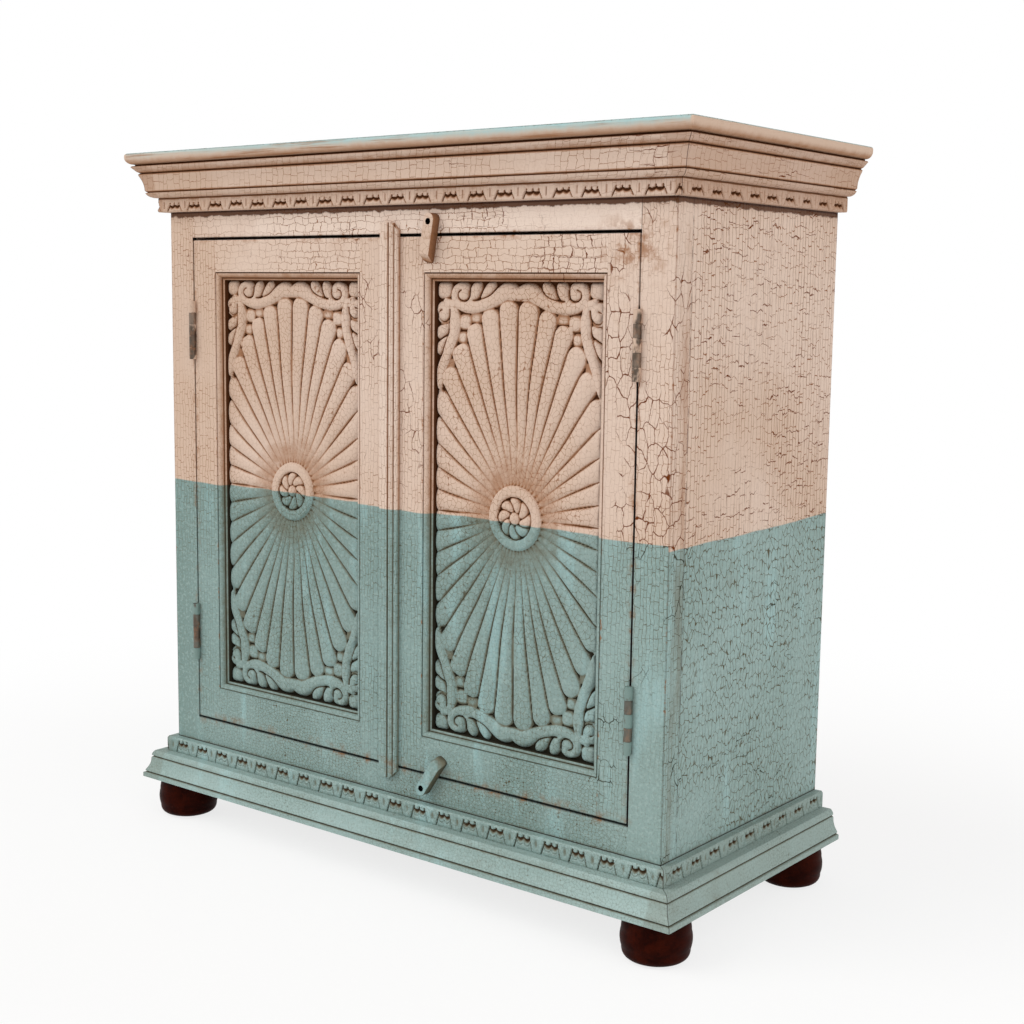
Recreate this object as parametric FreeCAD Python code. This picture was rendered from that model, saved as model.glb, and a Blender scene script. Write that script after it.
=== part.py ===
import FreeCAD
import Part
import math
import os

# Carved two-door cabinet on bun feet.
# Millimetres, +Z up, front towards -Y, origin on the floor under the middle of the whole cabinet.

V = FreeCAD.Vector
UP = V(0, 0, 1)
DEPTHWAYS = V(0, 1, 0)
SIDEWAYS = V(1, 0, 0)

# Case
body_width = 778.0
body_depth = 350.0
body_height = 700.0
post_width = 43.0
post_depth = 30.0
back_post_size = 26.0
top_rail_face = 33.0
bottom_rail_face = 34.0
side_thickness = 18.0
back_thickness = 12.0
back_board_count = 3
back_board_gap = 0.5

# Inside
floor_thickness = 18.0
floor_drop = 6.0
shelf_thickness = 18.0
shelf_height = 300.0
shelf_setback = 50.0
cleat_size = 20.0

# Top board and mouldings around the case
top_thickness = 14.0
top_overhang = 41.0
top_lower_round = 9.0
top_upper_round = 3.5
cornice_height = 42.0
cornice_overhang = 35.5
ovolo_height = 7.5
ovolo_overhang = 22.5
cove_top = 31.5
cove_overhang = 29.0
cove_hollow = 1.2
groove = 1.0
frieze_height = 18.0
frieze_thickness = 11.5
trim_height = 20.0
trim_thickness = 10.5
trim_round = 2.0

# Plinth and feet
plinth_height = 36.0
plinth_overhang = 34.0
plinth_board_width = 64.0
plinth_fillet = 7.0
plinth_cove_top = 28.0
plinth_cove_overhang = 25.5
plinth_cove_hollow = 1.5
plinth_nose_overhang = 22.0
foot_height = 50.0
foot_radius = 39.0
foot_neck_radius = 35.0
foot_base_radius = 28.0
foot_belly_height = 34.0
foot_heel_height = 14.0
foot_inset = 43.0

# Doors
door_thickness = 25.0
door_gap_top = 2.5
door_gap_bottom = 2.0
door_gap_hinge = 1.5
door_gap_meeting = 2.0
hinge_stile_width = 40.0
meeting_stile_width = 49.0
door_top_rail_height = 41.0
door_bottom_rail_height = 43.0
bead_width = 10.0
bead_quirk = 1.2
bead_drop = 8.0
panel_recess = 16.0
panel_thickness = 7.0
panel_clearance = 0.3
strip_width = 26.0
strip_over_left_door = 12.0
strip_thickness = 8.0
strip_lap = 13.0
strip_groove_depth = 1.5
strip_end_cut = 9.0

# Carving on the door panels
relief_height = 6.5
relief_sink = 0.5
boss_radius = 37.0
boss_button_radius = 8.0
boss_button_height = 1.5
sunburst_height = 243.0
sunburst_width = 140.0
petal_fill = 0.94
petal_root_share = 0.45
petal_start_share = 0.85
petal_edges = (0.0, 7.0, 13.5, 20.2, 28.0, 36.5, 46.0, 56.0, 66.5, 78.0, 90.0)

# Hinges
hinge_length = 75.0
hinge_inset = 78.0
hinge_proud = 3.0
knuckle_count = 5
knuckle_radius = 4.5
knuckle_gap = 0.4
barrel_clearance = 0.5
pin_radius = 1.8
pin_clearance = 0.05
leaf_thickness = 1.6
leaf_width = 22.0
leaf_gap = 0.2
hinge_screw_count = 3
hinge_screw_radius = 1.5
hinge_screw_head_radius = 3.0
hinge_screw_length = 14.0
screw_clearance = 0.05

# Turn latches
latch_width = 14.0
latch_thickness = 12.0
latch_tip = 47.0
latch_tail = 9.5
latch_bevel = 10.0
latch_screw_radius = 2.1
latch_screw_head_radius = 3.3
latch_screw_head_height = 2.0
latch_recess_radius = 3.7
latch_recess_depth = 4.0
latch_screw_depth = 18.0
latch_off_middle = 3.5
top_latch_x = 66.0
top_latch_turn = 190.0
bottom_latch_x = 60.0
bottom_latch_turn = 34.0

# Places worked out from the sizes above
half_width = body_width / 2
y_front = (top_overhang - body_depth) / 2
y_back = y_front + body_depth
z_plinth = foot_height
z_trim = z_plinth + plinth_height
z_body = z_trim + trim_height
z_frieze = z_body + body_height
z_cornice = z_frieze + frieze_height
z_top = z_cornice + cornice_height
total_height = z_top + top_thickness
x_opening = half_width - post_width
z_opening_bottom = z_body + bottom_rail_face
z_opening_top = z_frieze - top_rail_face
x_inside = half_width - side_thickness
y_post_back = y_front + post_depth
y_inside_back = y_back - back_thickness
z_floor_top = z_opening_bottom - floor_drop
z_shelf = z_floor_top + shelf_height

# The right door is described; the left one is its mirror image
x_door_hinge = x_opening - door_gap_hinge
x_door_meeting = door_gap_meeting / 2
z_door_bottom = z_opening_bottom + door_gap_bottom
z_door_top = z_opening_top - door_gap_top
x_panel_hinge = x_door_hinge - hinge_stile_width
x_panel_meeting = x_door_meeting + meeting_stile_width
z_panel_bottom = z_door_bottom + door_bottom_rail_height
z_panel_top = z_door_top - door_top_rail_height
x_panel_middle = (x_panel_hinge + x_panel_meeting) / 2
z_panel_middle = (z_panel_bottom + z_panel_top) / 2
y_panel = y_front + panel_recess

# The right hinges' axis runs up the middle of the gap beside the door
x_axis = x_opening - door_gap_hinge / 2
y_axis = y_front - hinge_proud
hinge_bottoms = (z_door_bottom + hinge_inset, z_door_top - hinge_inset - hinge_length)
z_top_latch = (z_opening_top + z_frieze) / 2 - latch_off_middle
z_bottom_latch = (z_opening_bottom + z_body) / 2 + latch_off_middle


def block(x0, x1, y0, y1, z0, z1):
    """Box between two corners."""
    return Part.makeBox(x1 - x0, y1 - y0, z1 - z0, V(x0, y0, z0))


def mirrored(shape):
    """The same piece on the other side of the cabinet."""
    return shape.mirror(V(0, 0, 0), SIDEWAYS)


def one_solid(shape):
    """The single solid that a cut or fuse leaves."""
    return shape.removeSplitter().Solids[0]


def outline(steps, place):
    """Face inside steps: (u, v) ends a straight run, (um, vm, u, v) an arc through a middle point."""
    first = place(*steps[0])
    here = first
    edges = []
    for step in steps[1:]:
        there = place(*step[-2:])
        if len(step) == 2:
            edges.append(Part.LineSegment(here, there).toShape())
        else:
            edges.append(Part.Arc(here, place(*step[:2]), there).toShape())
        here = there
    edges.append(Part.LineSegment(here, first).toShape())
    return Part.Face(Part.Wire(edges))


def plan_prism(corners):
    """Column over the whole height of the cabinet, with the given corners in plan."""
    points = [V(x, y, 0) for x, y in corners]
    return Part.Face(Part.makePolygon(points + points[:1])).extrude(UP * total_height)


def front_moulding(steps, inner, outer):
    """Front run of a moulding, mitred at both ends; steps are (projection, height)."""
    reach = half_width + outer
    face = outline(steps, lambda out, z: V(-reach, y_front - out, z))
    run = face.extrude(SIDEWAYS * 2 * reach)
    near = half_width - inner
    corners = [(-near, y_front + inner), (-reach, y_front - outer), (reach, y_front - outer), (near, y_front + inner)]
    return one_solid(run.common(plan_prism(corners)))


def side_moulding(steps, inner, outer):
    """Right-hand run of the same moulding, mitred in front and square at the back."""
    face = outline(steps, lambda out, z: V(half_width + out, y_front - outer, z))
    run = face.extrude(DEPTHWAYS * (body_depth + outer))
    near = half_width - inner
    reach = half_width + outer
    corners = [(near, y_front + inner), (reach, y_front - outer), (reach, y_back), (near, y_back)]
    return one_solid(run.common(plan_prism(corners)))


def top_board():
    """Flat board that overhangs in front and at the sides, with a rounded edge."""
    reach = half_width + top_overhang
    board = block(-reach, reach, y_front - top_overhang, y_back, z_top, total_height)
    board = board.makeFillet(min(top_lower_round, top_thickness * 0.6), seen_edges(board, z_top))
    return one_solid(board.makeFillet(min(top_upper_round, top_thickness * 0.3), seen_edges(board, total_height)))


def seen_edges(board, z):
    """Front and side edges of a board at one height."""
    level = [edge for edge in board.Edges if abs(edge.BoundBox.ZMin - z) < 0.01 and edge.BoundBox.ZLength < 0.01]
    return [edge for edge in level if edge.BoundBox.YMin < y_back - 1]


def cornice_steps():
    """Ovolo, hollow cove and slanted fillet, with a small groove between them."""
    z0 = z_cornice
    cove_middle = (ovolo_overhang + cove_overhang) / 2 - cove_hollow
    return [
        (0, z0),
        (frieze_thickness, z0),
        (frieze_thickness + (ovolo_overhang - frieze_thickness) * 0.6, z0 + ovolo_height * 0.26,
         ovolo_overhang, z0 + ovolo_height - groove / 2),
        (ovolo_overhang - groove, z0 + ovolo_height),
        (ovolo_overhang, z0 + ovolo_height + groove / 2),
        (cove_middle, z0 + (ovolo_height + cove_top) / 2, cove_overhang, z0 + cove_top - groove / 2),
        (cove_overhang - groove, z0 + cove_top),
        (cove_overhang + groove / 2, z0 + cove_top + groove / 2),
        (cornice_overhang, z0 + cornice_height - 2 * groove),
        (cornice_overhang - groove, z_top),
        (0, z_top),
    ]


def frieze_steps():
    """Plain strip under the cornice."""
    return [(0, z_frieze), (frieze_thickness, z_frieze), (frieze_thickness, z_cornice), (0, z_cornice)]


def trim_steps():
    """Strip round the foot of the case, with its upper edge rounded over."""
    low = trim_thickness - trim_round
    bend = trim_round * math.sin(math.radians(45))
    return [
        (0, z_trim),
        (trim_thickness, z_trim),
        (trim_thickness, z_body - trim_round),
        (low + bend, z_body - trim_round + bend, low, z_body),
        (0, z_body),
    ]


def plinth_steps():
    """Fillet at the floor side, hollow cove and rounded nose."""
    inner = plinth_overhang - plinth_board_width
    fillet_top = z_plinth + plinth_fillet
    cove_start = plinth_overhang - 2 * groove
    cove_end = z_plinth + plinth_cove_top
    cove_middle = (cove_start + plinth_cove_overhang) / 2 - plinth_cove_hollow
    nose_middle = (plinth_cove_overhang + plinth_nose_overhang) / 2 + groove
    return [
        (inner, z_plinth),
        (plinth_overhang, z_plinth),
        (plinth_overhang, fillet_top - groove / 2),
        (cove_start - groove, fillet_top),
        (cove_start, fillet_top + groove / 2),
        (cove_middle, (fillet_top + cove_end) / 2, plinth_cove_overhang, cove_end - groove / 2),
        (plinth_cove_overhang - groove, cove_end),
        (plinth_cove_overhang, cove_end + groove / 2),
        (nose_middle, (cove_end + z_trim) / 2, plinth_nose_overhang, z_trim),
        (inner, z_trim),
    ]


def plinth_back():
    """Plain board between the side runs of the plinth, flush with the back."""
    reach = half_width + plinth_overhang - plinth_board_width
    return block(-reach, reach, y_back - plinth_board_width, y_back, z_plinth, z_trim)


def foot(x, y):
    """Turned bun foot with a flat top and a flat base."""
    steps = [
        (0, 0),
        (foot_base_radius, 0),
        (foot_base_radius + (foot_radius - foot_base_radius) * 0.8, foot_heel_height * 0.42,
         foot_radius - 1, foot_heel_height),
        (foot_radius, (foot_heel_height + foot_belly_height) / 2, foot_radius - 1, foot_belly_height),
        (foot_neck_radius, foot_height),
        (0, foot_height),
    ]
    face = outline(steps, lambda r, z: V(x + r, y, z))
    return face.revolve(V(x, y, 0), UP, 360)


def front_post():
    """Right front post, let in for the hinges' frame leaves."""
    post = block(x_opening, half_width, y_front, y_post_back, z_trim, z_top)
    return one_solid(post.cut(hinge_seats(1)))


def front_rail(z0, z1, latch_x, latch_z):
    """Rail between the front posts, drilled for its latch's screw."""
    rail = block(-x_opening, x_opening, y_front, y_post_back, z0, z1)
    hole = Part.makeCylinder(latch_screw_radius + screw_clearance, latch_screw_depth, V(latch_x, y_front, latch_z), DEPTHWAYS)
    return one_solid(rail.cut(hole))


def side_board():
    """Right side of the case, from the front post to the back."""
    return block(x_inside, half_width, y_post_back, y_back, z_trim, z_top)


def back_post():
    """Right corner post inside the back, standing on the floor board."""
    return block(x_inside - back_post_size, x_inside, y_inside_back - back_post_size, y_inside_back, z_floor_top, z_top)


def back_board(index):
    """One upright board of the back."""
    width = (2 * x_inside - (back_board_count - 1) * back_board_gap) / back_board_count
    left = -x_inside + index * (width + back_board_gap)
    return block(left, left + width, y_inside_back, y_back, z_trim, z_top)


def floor_board():
    """Floor of the case, between the sides, behind the front posts and rail."""
    return block(-x_inside, x_inside, y_post_back, y_inside_back, z_floor_top - floor_thickness, z_floor_top)


def shelf():
    """Shelf between the sides, notched round the back posts."""
    y0 = y_front + shelf_setback
    board = block(-x_inside, x_inside, y0, y_inside_back, z_shelf, z_shelf + shelf_thickness)
    return one_solid(board.cut(back_post().fuse(mirrored(back_post()))))


def cleat(top):
    """Right-hand batten that carries a board's end."""
    y1 = y_inside_back - back_post_size
    return block(x_inside - cleat_size, x_inside, y_post_back, y1, top - cleat_size, top)


def hinge_barrel(radius, z0, z1):
    """Round bar about the right hinges' axis."""
    return Part.makeCylinder(radius, z1 - z0, V(x_axis, y_axis, z0))


def leaf_block(toward, y0, y1, z0, z1):
    """Slice of the leaf's thickness beside the axis: toward is 1 for the post, -1 for the door."""
    near = x_axis + toward * leaf_gap / 2
    far = near + toward * leaf_thickness
    return block(min(near, far), max(near, far), y0, y1, z0, z1)


def hinge_screw_heights(z0):
    """Heights of one leaf's screws."""
    step = hinge_length / hinge_screw_count
    return [z0 + step * (index + 0.5) for index in range(hinge_screw_count)]


def hinge_screw(toward, z, spare):
    """Countersunk screw, its head flush with the leaf; spare widens it into its own hole."""
    start = V(x_axis + toward * leaf_gap / 2, y_front + leaf_width / 2, z)
    along = SIDEWAYS * toward
    head = Part.makeCone(hinge_screw_head_radius + spare, hinge_screw_radius + spare, leaf_thickness, start, along)
    shank = Part.makeCylinder(hinge_screw_radius + spare, hinge_screw_length, start + along * leaf_thickness, along)
    return one_solid(head.fuse(shank))


def hinge_leaf(toward, z0):
    """Leaf with its share of the knuckles, bored for the pin and drilled for its screws."""
    leaf = leaf_block(toward, y_axis + knuckle_radius + barrel_clearance, y_front + leaf_width, z0, z0 + hinge_length)
    step = hinge_length / knuckle_count
    for index in range(0 if toward > 0 else 1, knuckle_count, 2):
        low = z0 + index * step + knuckle_gap / 2
        high = z0 + (index + 1) * step - knuckle_gap / 2
        tab = leaf_block(toward, y_axis, y_front + leaf_width / 2, low, high)
        leaf = leaf.fuse(tab).fuse(hinge_barrel(knuckle_radius, low, high))
    leaf = leaf.cut(hinge_barrel(pin_radius + pin_clearance, z0, z0 + hinge_length))
    for z in hinge_screw_heights(z0):
        leaf = leaf.cut(hinge_screw(toward, z, screw_clearance))
    return one_solid(leaf)


def hinge_seats(toward):
    """What the hinges take out of the post or the door: leaf mortises, barrel hollows and screw holes."""
    seats = []
    for z0 in hinge_bottoms:
        z1 = z0 + hinge_length
        seats.append(leaf_block(toward, y_front, y_front + leaf_width, z0, z1))
        seats.append(hinge_barrel(knuckle_radius + barrel_clearance, z0, z1))
        seats += [hinge_screw(toward, z, screw_clearance) for z in hinge_screw_heights(z0)]
    return seats[0].multiFuse(seats[1:])


def hinge_set(toward):
    """Both leaves of one kind on the right-hand side."""
    return [hinge_leaf(toward, z0) for z0 in hinge_bottoms]


def hinge_screws(toward):
    """The screws of both leaves of one kind on the right-hand side."""
    return [hinge_screw(toward, z, 0) for z0 in hinge_bottoms for z in hinge_screw_heights(z0)]


def hinge_pins():
    """Pins of the right-hand hinges."""
    return [hinge_barrel(pin_radius, z0, z0 + hinge_length) for z0 in hinge_bottoms]


def door_hinge_stile():
    """Upright of the door frame that carries the hinges."""
    stile = block(x_panel_hinge, x_door_hinge, y_front, y_front + door_thickness, z_door_bottom, z_door_top)
    return one_solid(stile.cut(hinge_seats(-1)))


def door_meeting_stile():
    """Upright of the door frame at the middle of the cabinet."""
    return block(x_door_meeting, x_panel_meeting, y_front, y_front + door_thickness, z_door_bottom, z_door_top)


def door_rail(z0, z1):
    """Cross rail of the door frame, between the stiles."""
    return block(x_panel_meeting, x_panel_hinge, y_front, y_front + door_thickness, z0, z1)


def bead_steps():
    """Section of the moulding inside the door frame: (in from the frame, down from the door's face)."""
    return [
        (0, panel_recess),
        (0, bead_quirk),
        (bead_quirk, bead_quirk),
        (bead_quirk, bead_quirk / 4),
        (bead_width * 0.52, bead_drop * 0.18, bead_width * 0.72, bead_drop * 0.62),
        (bead_width * 0.72, bead_drop * 0.82),
        (bead_width, bead_drop),
        (bead_width, panel_recess),
    ]


def door_bead():
    """Four mitred lengths of moulding round the panel."""
    x0, x1 = x_panel_meeting, x_panel_hinge
    z0, z1 = z_panel_bottom, z_panel_top
    lower = outline(bead_steps(), lambda inward, down: V(x0, y_front + down, z0 + inward)).extrude(SIDEWAYS * (x1 - x0))
    upper = outline(bead_steps(), lambda inward, down: V(x0, y_front + down, z1 - inward)).extrude(SIDEWAYS * (x1 - x0))
    near = outline(bead_steps(), lambda inward, down: V(x0 + inward, y_front + down, z0)).extrude(UP * (z1 - z0))
    far = outline(bead_steps(), lambda inward, down: V(x1 - inward, y_front + down, z0)).extrude(UP * (z1 - z0))
    w = bead_width
    pieces = [
        (lower, [(x0, z0), (x1, z0), (x1 - w, z0 + w), (x0 + w, z0 + w)]),
        (upper, [(x0, z1), (x0 + w, z1 - w), (x1 - w, z1 - w), (x1, z1)]),
        (near, [(x0, z0), (x0 + w, z0 + w), (x0 + w, z1 - w), (x0, z1)]),
        (far, [(x1, z0), (x1, z1), (x1 - w, z1 - w), (x1 - w, z0 + w)]),
    ]
    solids = []
    for run, corners in pieces:
        points = [V(x, y_front, z) for x, z in corners]
        mitre = Part.Face(Part.makePolygon(points + points[:1])).extrude(DEPTHWAYS * panel_recess)
        solids.append(one_solid(run.common(mitre)))
    return solids


def petal_reach(angle):
    """How far a petal of the sunburst runs, on an ellipse about the boss."""
    return 1 / math.hypot(math.cos(angle) / sunburst_height, math.sin(angle) / sunburst_width)


def petal_section(angle, distance, half_wide, high):
    """Low arched section across a petal, standing on the panel."""
    out = V(math.sin(angle), 0, math.cos(angle))
    across = V(math.cos(angle), 0, -math.sin(angle))
    middle = V(x_panel_middle, y_panel, z_panel_middle) + out * distance
    arch = [(-1.0, -relief_sink / high), (-1.0, 0), (-0.75, 0.7), (-0.3, 1), (0.3, 1), (0.75, 0.7), (1.0, 0),
            (1.0, -relief_sink / high)]
    points = [middle + across * (u * half_wide) - DEPTHWAYS * (v * high) for u, v in arch]
    return Part.makePolygon(points + points[:1])


def petal(start, end):
    """One tapered petal between two groove angles, in degrees clockwise from the top."""
    angle = math.radians((start + end) / 2)
    spread = math.tan(math.radians((end - start) / 2)) * petal_fill
    reach = petal_reach(angle)
    start_at = boss_radius * petal_start_share
    root = petal_section(angle, start_at, start_at * spread, relief_height * petal_root_share)
    tip = petal_section(angle, reach, reach * spread, relief_height)
    return Part.makeLoft([root, tip], True, True)


def door_panel():
    """Board behind the bead, with a raised sunburst of petals round a boss."""
    margin = panel_clearance
    board = block(x_panel_meeting + margin, x_panel_hinge - margin, y_panel, y_panel + panel_thickness,
                  z_panel_bottom + margin, z_panel_top - margin)
    field = block(x_panel_meeting + bead_width + margin, x_panel_hinge - bead_width - margin,
                  y_panel - 2 * relief_height, y_panel + panel_thickness,
                  z_panel_bottom + bead_width + margin, z_panel_top - bead_width - margin)
    middle = V(x_panel_middle, y_panel + relief_sink, z_panel_middle)
    boss = Part.makeCylinder(boss_radius, relief_height, middle, -DEPTHWAYS)
    button = Part.makeCylinder(boss_button_radius, relief_height + boss_button_height, middle, -DEPTHWAYS)
    carving = [button]
    for turn in (0, 1):
        for start, end in zip(petal_edges, petal_edges[1:]):
            right = petal(180 * turn + start, 180 * turn + end)
            carving.append(right.common(field))
            left = petal(180 * turn - end, 180 * turn - start)
            carving.append(left.common(field))
    return one_solid(board.fuse(boss).multiFuse(carving))


def cover_strip():
    """Moulded strip on the right door that laps over the left door's edge and both rails."""
    x0 = -strip_over_left_door
    x1 = x0 + strip_width
    flat_end = x0 + strip_width * 0.52
    bead_end = x0 + strip_width * 0.8
    full = strip_thickness
    shallow = strip_thickness - strip_groove_depth
    steps = [
        (x0, 0),
        (x0, full),
        (flat_end, full),
        (flat_end + groove / 2, shallow),
        (flat_end + groove, full - groove / 2),
        ((flat_end + bead_end) / 2, full, bead_end, shallow),
        (bead_end + groove / 2, shallow - groove),
        (bead_end + groove, shallow),
        (x1, shallow - groove),
        (x1, 0),
    ]
    z0 = z_opening_bottom - strip_lap
    z1 = z_opening_top + strip_lap
    strip = outline(steps, lambda x, out: V(x, y_front - out, z0)).extrude(UP * (z1 - z0))
    for z, inward in ((z0, 1), (z1, -1)):
        corner = [V(x1 - strip_end_cut, y_front, z), V(x1, y_front, z), V(x1, y_front, z + inward * strip_end_cut)]
        wedge = Part.Face(Part.makePolygon(corner + corner[:1])).extrude(-DEPTHWAYS * strip_thickness * 2)
        strip = strip.cut(wedge)
    return one_solid(strip)


def latch(x, z, turn):
    """Turn latch: a bar with a round tail, a sloped tip and a sunk screw hole, turned about its screw."""
    half = latch_width / 2
    tail = min(latch_tail, latch_width)
    shoulder = tail - half
    steps = [
        (-half, -shoulder),
        (0, -tail, half, -shoulder),
        (half, latch_tip - half / 2),
        (0, latch_tip, -half, latch_tip - half / 2),
    ]
    bar = outline(steps, lambda u, v: V(x + u, y_front, z + v)).extrude(-DEPTHWAYS * latch_thickness)
    slope = [(latch_tip, latch_thickness), (latch_tip, 0), (latch_tip - latch_bevel, latch_thickness)]
    points = [V(x - latch_width, y_front - out, z + v) for v, out in slope]
    wedge = Part.Face(Part.makePolygon(points + points[:1])).extrude(SIDEWAYS * 2 * latch_width)
    hole = Part.makeCylinder(latch_screw_radius + screw_clearance, latch_thickness, V(x, y_front, z), -DEPTHWAYS)
    recess = Part.makeCylinder(latch_recess_radius, latch_recess_depth, V(x, y_front - latch_thickness, z), DEPTHWAYS)
    bar = one_solid(bar.cut(wedge).cut(hole).cut(recess))
    bar.rotate(V(x, y_front, z), DEPTHWAYS, turn)
    return bar


def latch_screw(x, z):
    """Screw that a latch turns on, its head at the bottom of the recess."""
    seat = y_front - latch_thickness + latch_recess_depth
    length = latch_screw_depth + y_front - seat
    shank = Part.makeCylinder(latch_screw_radius, length, V(x, seat, z), DEPTHWAYS)
    head = Part.makeCylinder(latch_screw_head_radius, latch_screw_head_height, V(x, seat, z), -DEPTHWAYS)
    return one_solid(shank.fuse(head))


def both_sides(name, shape, nodes):
    """Add a piece and its mirror image as a right and a left node."""
    nodes[name + "_right"] = shape
    nodes[name + "_left"] = mirrored(shape)


def case_nodes():
    """Pieces of the fixed case."""
    nodes = {"top_board": top_board()}
    runs = {
        "cornice": (cornice_steps(), 0, cornice_overhang),
        "frieze": (frieze_steps(), 0, frieze_thickness),
        "base_trim": (trim_steps(), 0, trim_thickness),
        "plinth": (plinth_steps(), plinth_board_width - plinth_overhang, plinth_overhang),
    }
    for name, (steps, inner, outer) in runs.items():
        nodes[name + "_front"] = front_moulding(steps, inner, outer)
        both_sides(name, side_moulding(steps, inner, outer), nodes)
    nodes["plinth_back"] = plinth_back()
    both_sides("front_post", front_post(), nodes)
    both_sides("back_post", back_post(), nodes)
    both_sides("side_board", side_board(), nodes)
    nodes["top_rail"] = front_rail(z_opening_top, z_top, top_latch_x, z_top_latch)
    nodes["bottom_rail"] = front_rail(z_trim, z_opening_bottom, bottom_latch_x, z_bottom_latch)
    for index in range(back_board_count):
        nodes["back_board_%d" % (index + 1)] = back_board(index)
    nodes["floor_board"] = floor_board()
    nodes["shelf"] = shelf()
    both_sides("floor_cleat", cleat(z_floor_top - floor_thickness), nodes)
    both_sides("shelf_cleat", cleat(z_shelf), nodes)
    x_foot = half_width + plinth_overhang - foot_inset
    both_sides("foot_front", foot(x_foot, y_front - plinth_overhang + foot_inset), nodes)
    both_sides("foot_back", foot(x_foot, y_back - foot_inset), nodes)
    return nodes


def door_nodes(side):
    """Pieces of one door."""
    pieces = {
        "hinge_stile": [door_hinge_stile()],
        "meeting_stile": [door_meeting_stile()],
        "top_rail": [door_rail(z_panel_top, z_door_top)],
        "bottom_rail": [door_rail(z_door_bottom, z_panel_bottom)],
        "bead": door_bead(),
        "panel": [door_panel()],
        "hinge_leaves": hinge_set(-1),
        "hinge_screws": hinge_screws(-1),
    }
    nodes = {}
    for name, solids in pieces.items():
        placed = solids if side == "right" else [mirrored(solid) for solid in solids]
        nodes["%s_door_%s" % (side, name)] = placed[0] if len(placed) == 1 else Part.makeCompound(placed)
    return nodes


def hardware_nodes():
    """Hinge parts on the case, latches and their screws."""
    nodes = {}
    fixed = {"case_hinge_leaves": hinge_set(1), "case_hinge_screws": hinge_screws(1), "hinge_pins": hinge_pins()}
    for name, solids in fixed.items():
        nodes[name] = Part.makeCompound(solids + [mirrored(solid) for solid in solids])
    screws = [latch_screw(top_latch_x, z_top_latch), latch_screw(bottom_latch_x, z_bottom_latch)]
    nodes["latch_screws"] = Part.makeCompound(screws)
    nodes["top_latch"] = latch(top_latch_x, z_top_latch, top_latch_turn)
    nodes["bottom_latch"] = latch(bottom_latch_x, z_bottom_latch, bottom_latch_turn)
    return nodes


def main():
    """Write one file for each piece."""
    os.makedirs("parts", exist_ok=True)
    nodes = case_nodes()
    nodes.update(door_nodes("left"))
    nodes.update(door_nodes("right"))
    nodes["right_door_cover_strip"] = cover_strip()
    nodes.update(hardware_nodes())
    for name, shape in nodes.items():
        shape.exportStep("parts/%s.step" % name)
        print(name, len(shape.Solids), round(shape.Volume), shape.isValid())


main()
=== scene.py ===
import math

import bmesh
import bpy
import numpy as np
from mathutils import Euler, Matrix, Vector


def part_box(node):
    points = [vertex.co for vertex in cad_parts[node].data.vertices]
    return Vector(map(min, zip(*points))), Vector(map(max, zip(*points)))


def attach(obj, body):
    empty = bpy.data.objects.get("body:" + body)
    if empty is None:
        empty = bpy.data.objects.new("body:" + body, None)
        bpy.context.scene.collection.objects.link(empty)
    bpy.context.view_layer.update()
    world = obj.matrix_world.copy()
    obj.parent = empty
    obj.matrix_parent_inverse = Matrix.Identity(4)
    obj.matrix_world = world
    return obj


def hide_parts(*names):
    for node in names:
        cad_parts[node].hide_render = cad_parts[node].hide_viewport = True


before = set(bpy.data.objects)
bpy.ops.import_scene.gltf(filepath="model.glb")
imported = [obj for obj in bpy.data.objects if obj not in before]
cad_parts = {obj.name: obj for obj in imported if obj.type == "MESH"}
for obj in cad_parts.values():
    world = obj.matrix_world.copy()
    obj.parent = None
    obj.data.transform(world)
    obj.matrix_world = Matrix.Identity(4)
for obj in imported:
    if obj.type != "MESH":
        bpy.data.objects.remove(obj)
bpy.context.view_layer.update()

bl_info = {
    "name": "Carved cabinet",
    "version": (1, 0, 0),
    "blender": (4, 5, 0),
    "location": "3D View > Sidebar > Cabinet",
    "description": "Two-door cabinet with carved panels and crackled two-colour paint",
    "category": "Object",
}

MM = 0.001
X, Y, Z = Vector((1, 0, 0)), Vector((0, 1, 0)), Vector((0, 0, 1))

# Places of the solids, read from the frame
SIDE_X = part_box("side_board_right")[1].x
FRONT_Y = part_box("front_post_right")[0].y
BACK_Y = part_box("side_board_right")[1].y
FRIEZE_Z, CORNICE_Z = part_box("frieze_front")[0].z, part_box("cornice_front")[0].z
PLINTH_Z, TRIM_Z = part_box("plinth_front")[0].z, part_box("base_trim_front")[0].z
FRIEZE_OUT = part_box("frieze_right")[1].x - SIDE_X
TRIM_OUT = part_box("base_trim_right")[1].x - SIDE_X
FRIEZE_TALL = CORNICE_Z - FRIEZE_Z
TRIM_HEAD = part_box("base_trim_front")[1].z
TRIM_TALL = TRIM_HEAD - TRIM_Z
PANEL_LOW, PANEL_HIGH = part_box("right_door_panel")
BEAD_LOW, BEAD_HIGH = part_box("right_door_bead")
BEAD_WIDE = 10 * MM
PANEL_GROUND = BEAD_HIGH.y


def linear(red, green, blue):
    """Colour written as display bytes, turned into scene light."""
    shares = [c / 255 for c in (red, green, blue)]
    return tuple(c / 12.92 if c <= 0.04045 else ((c + 0.055) / 1.055) ** 2.4 for c in shares)


def colour(name, description, red, green, blue):
    """Colour property with a default in display bytes."""
    return bpy.props.FloatVectorProperty(name=name, description=description, subtype="COLOR", size=3,
                                         min=0, max=1, default=linear(red, green, blue))


def length(name, description, millimetres):
    """Length property with a default in millimetres."""
    return bpy.props.FloatProperty(name=name, description=description, unit="LENGTH", default=millimetres * MM)


def share(name, description, default, top=1.0):
    """Plain number property."""
    return bpy.props.FloatProperty(name=name, description=description, min=0, max=top, default=default)


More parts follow.
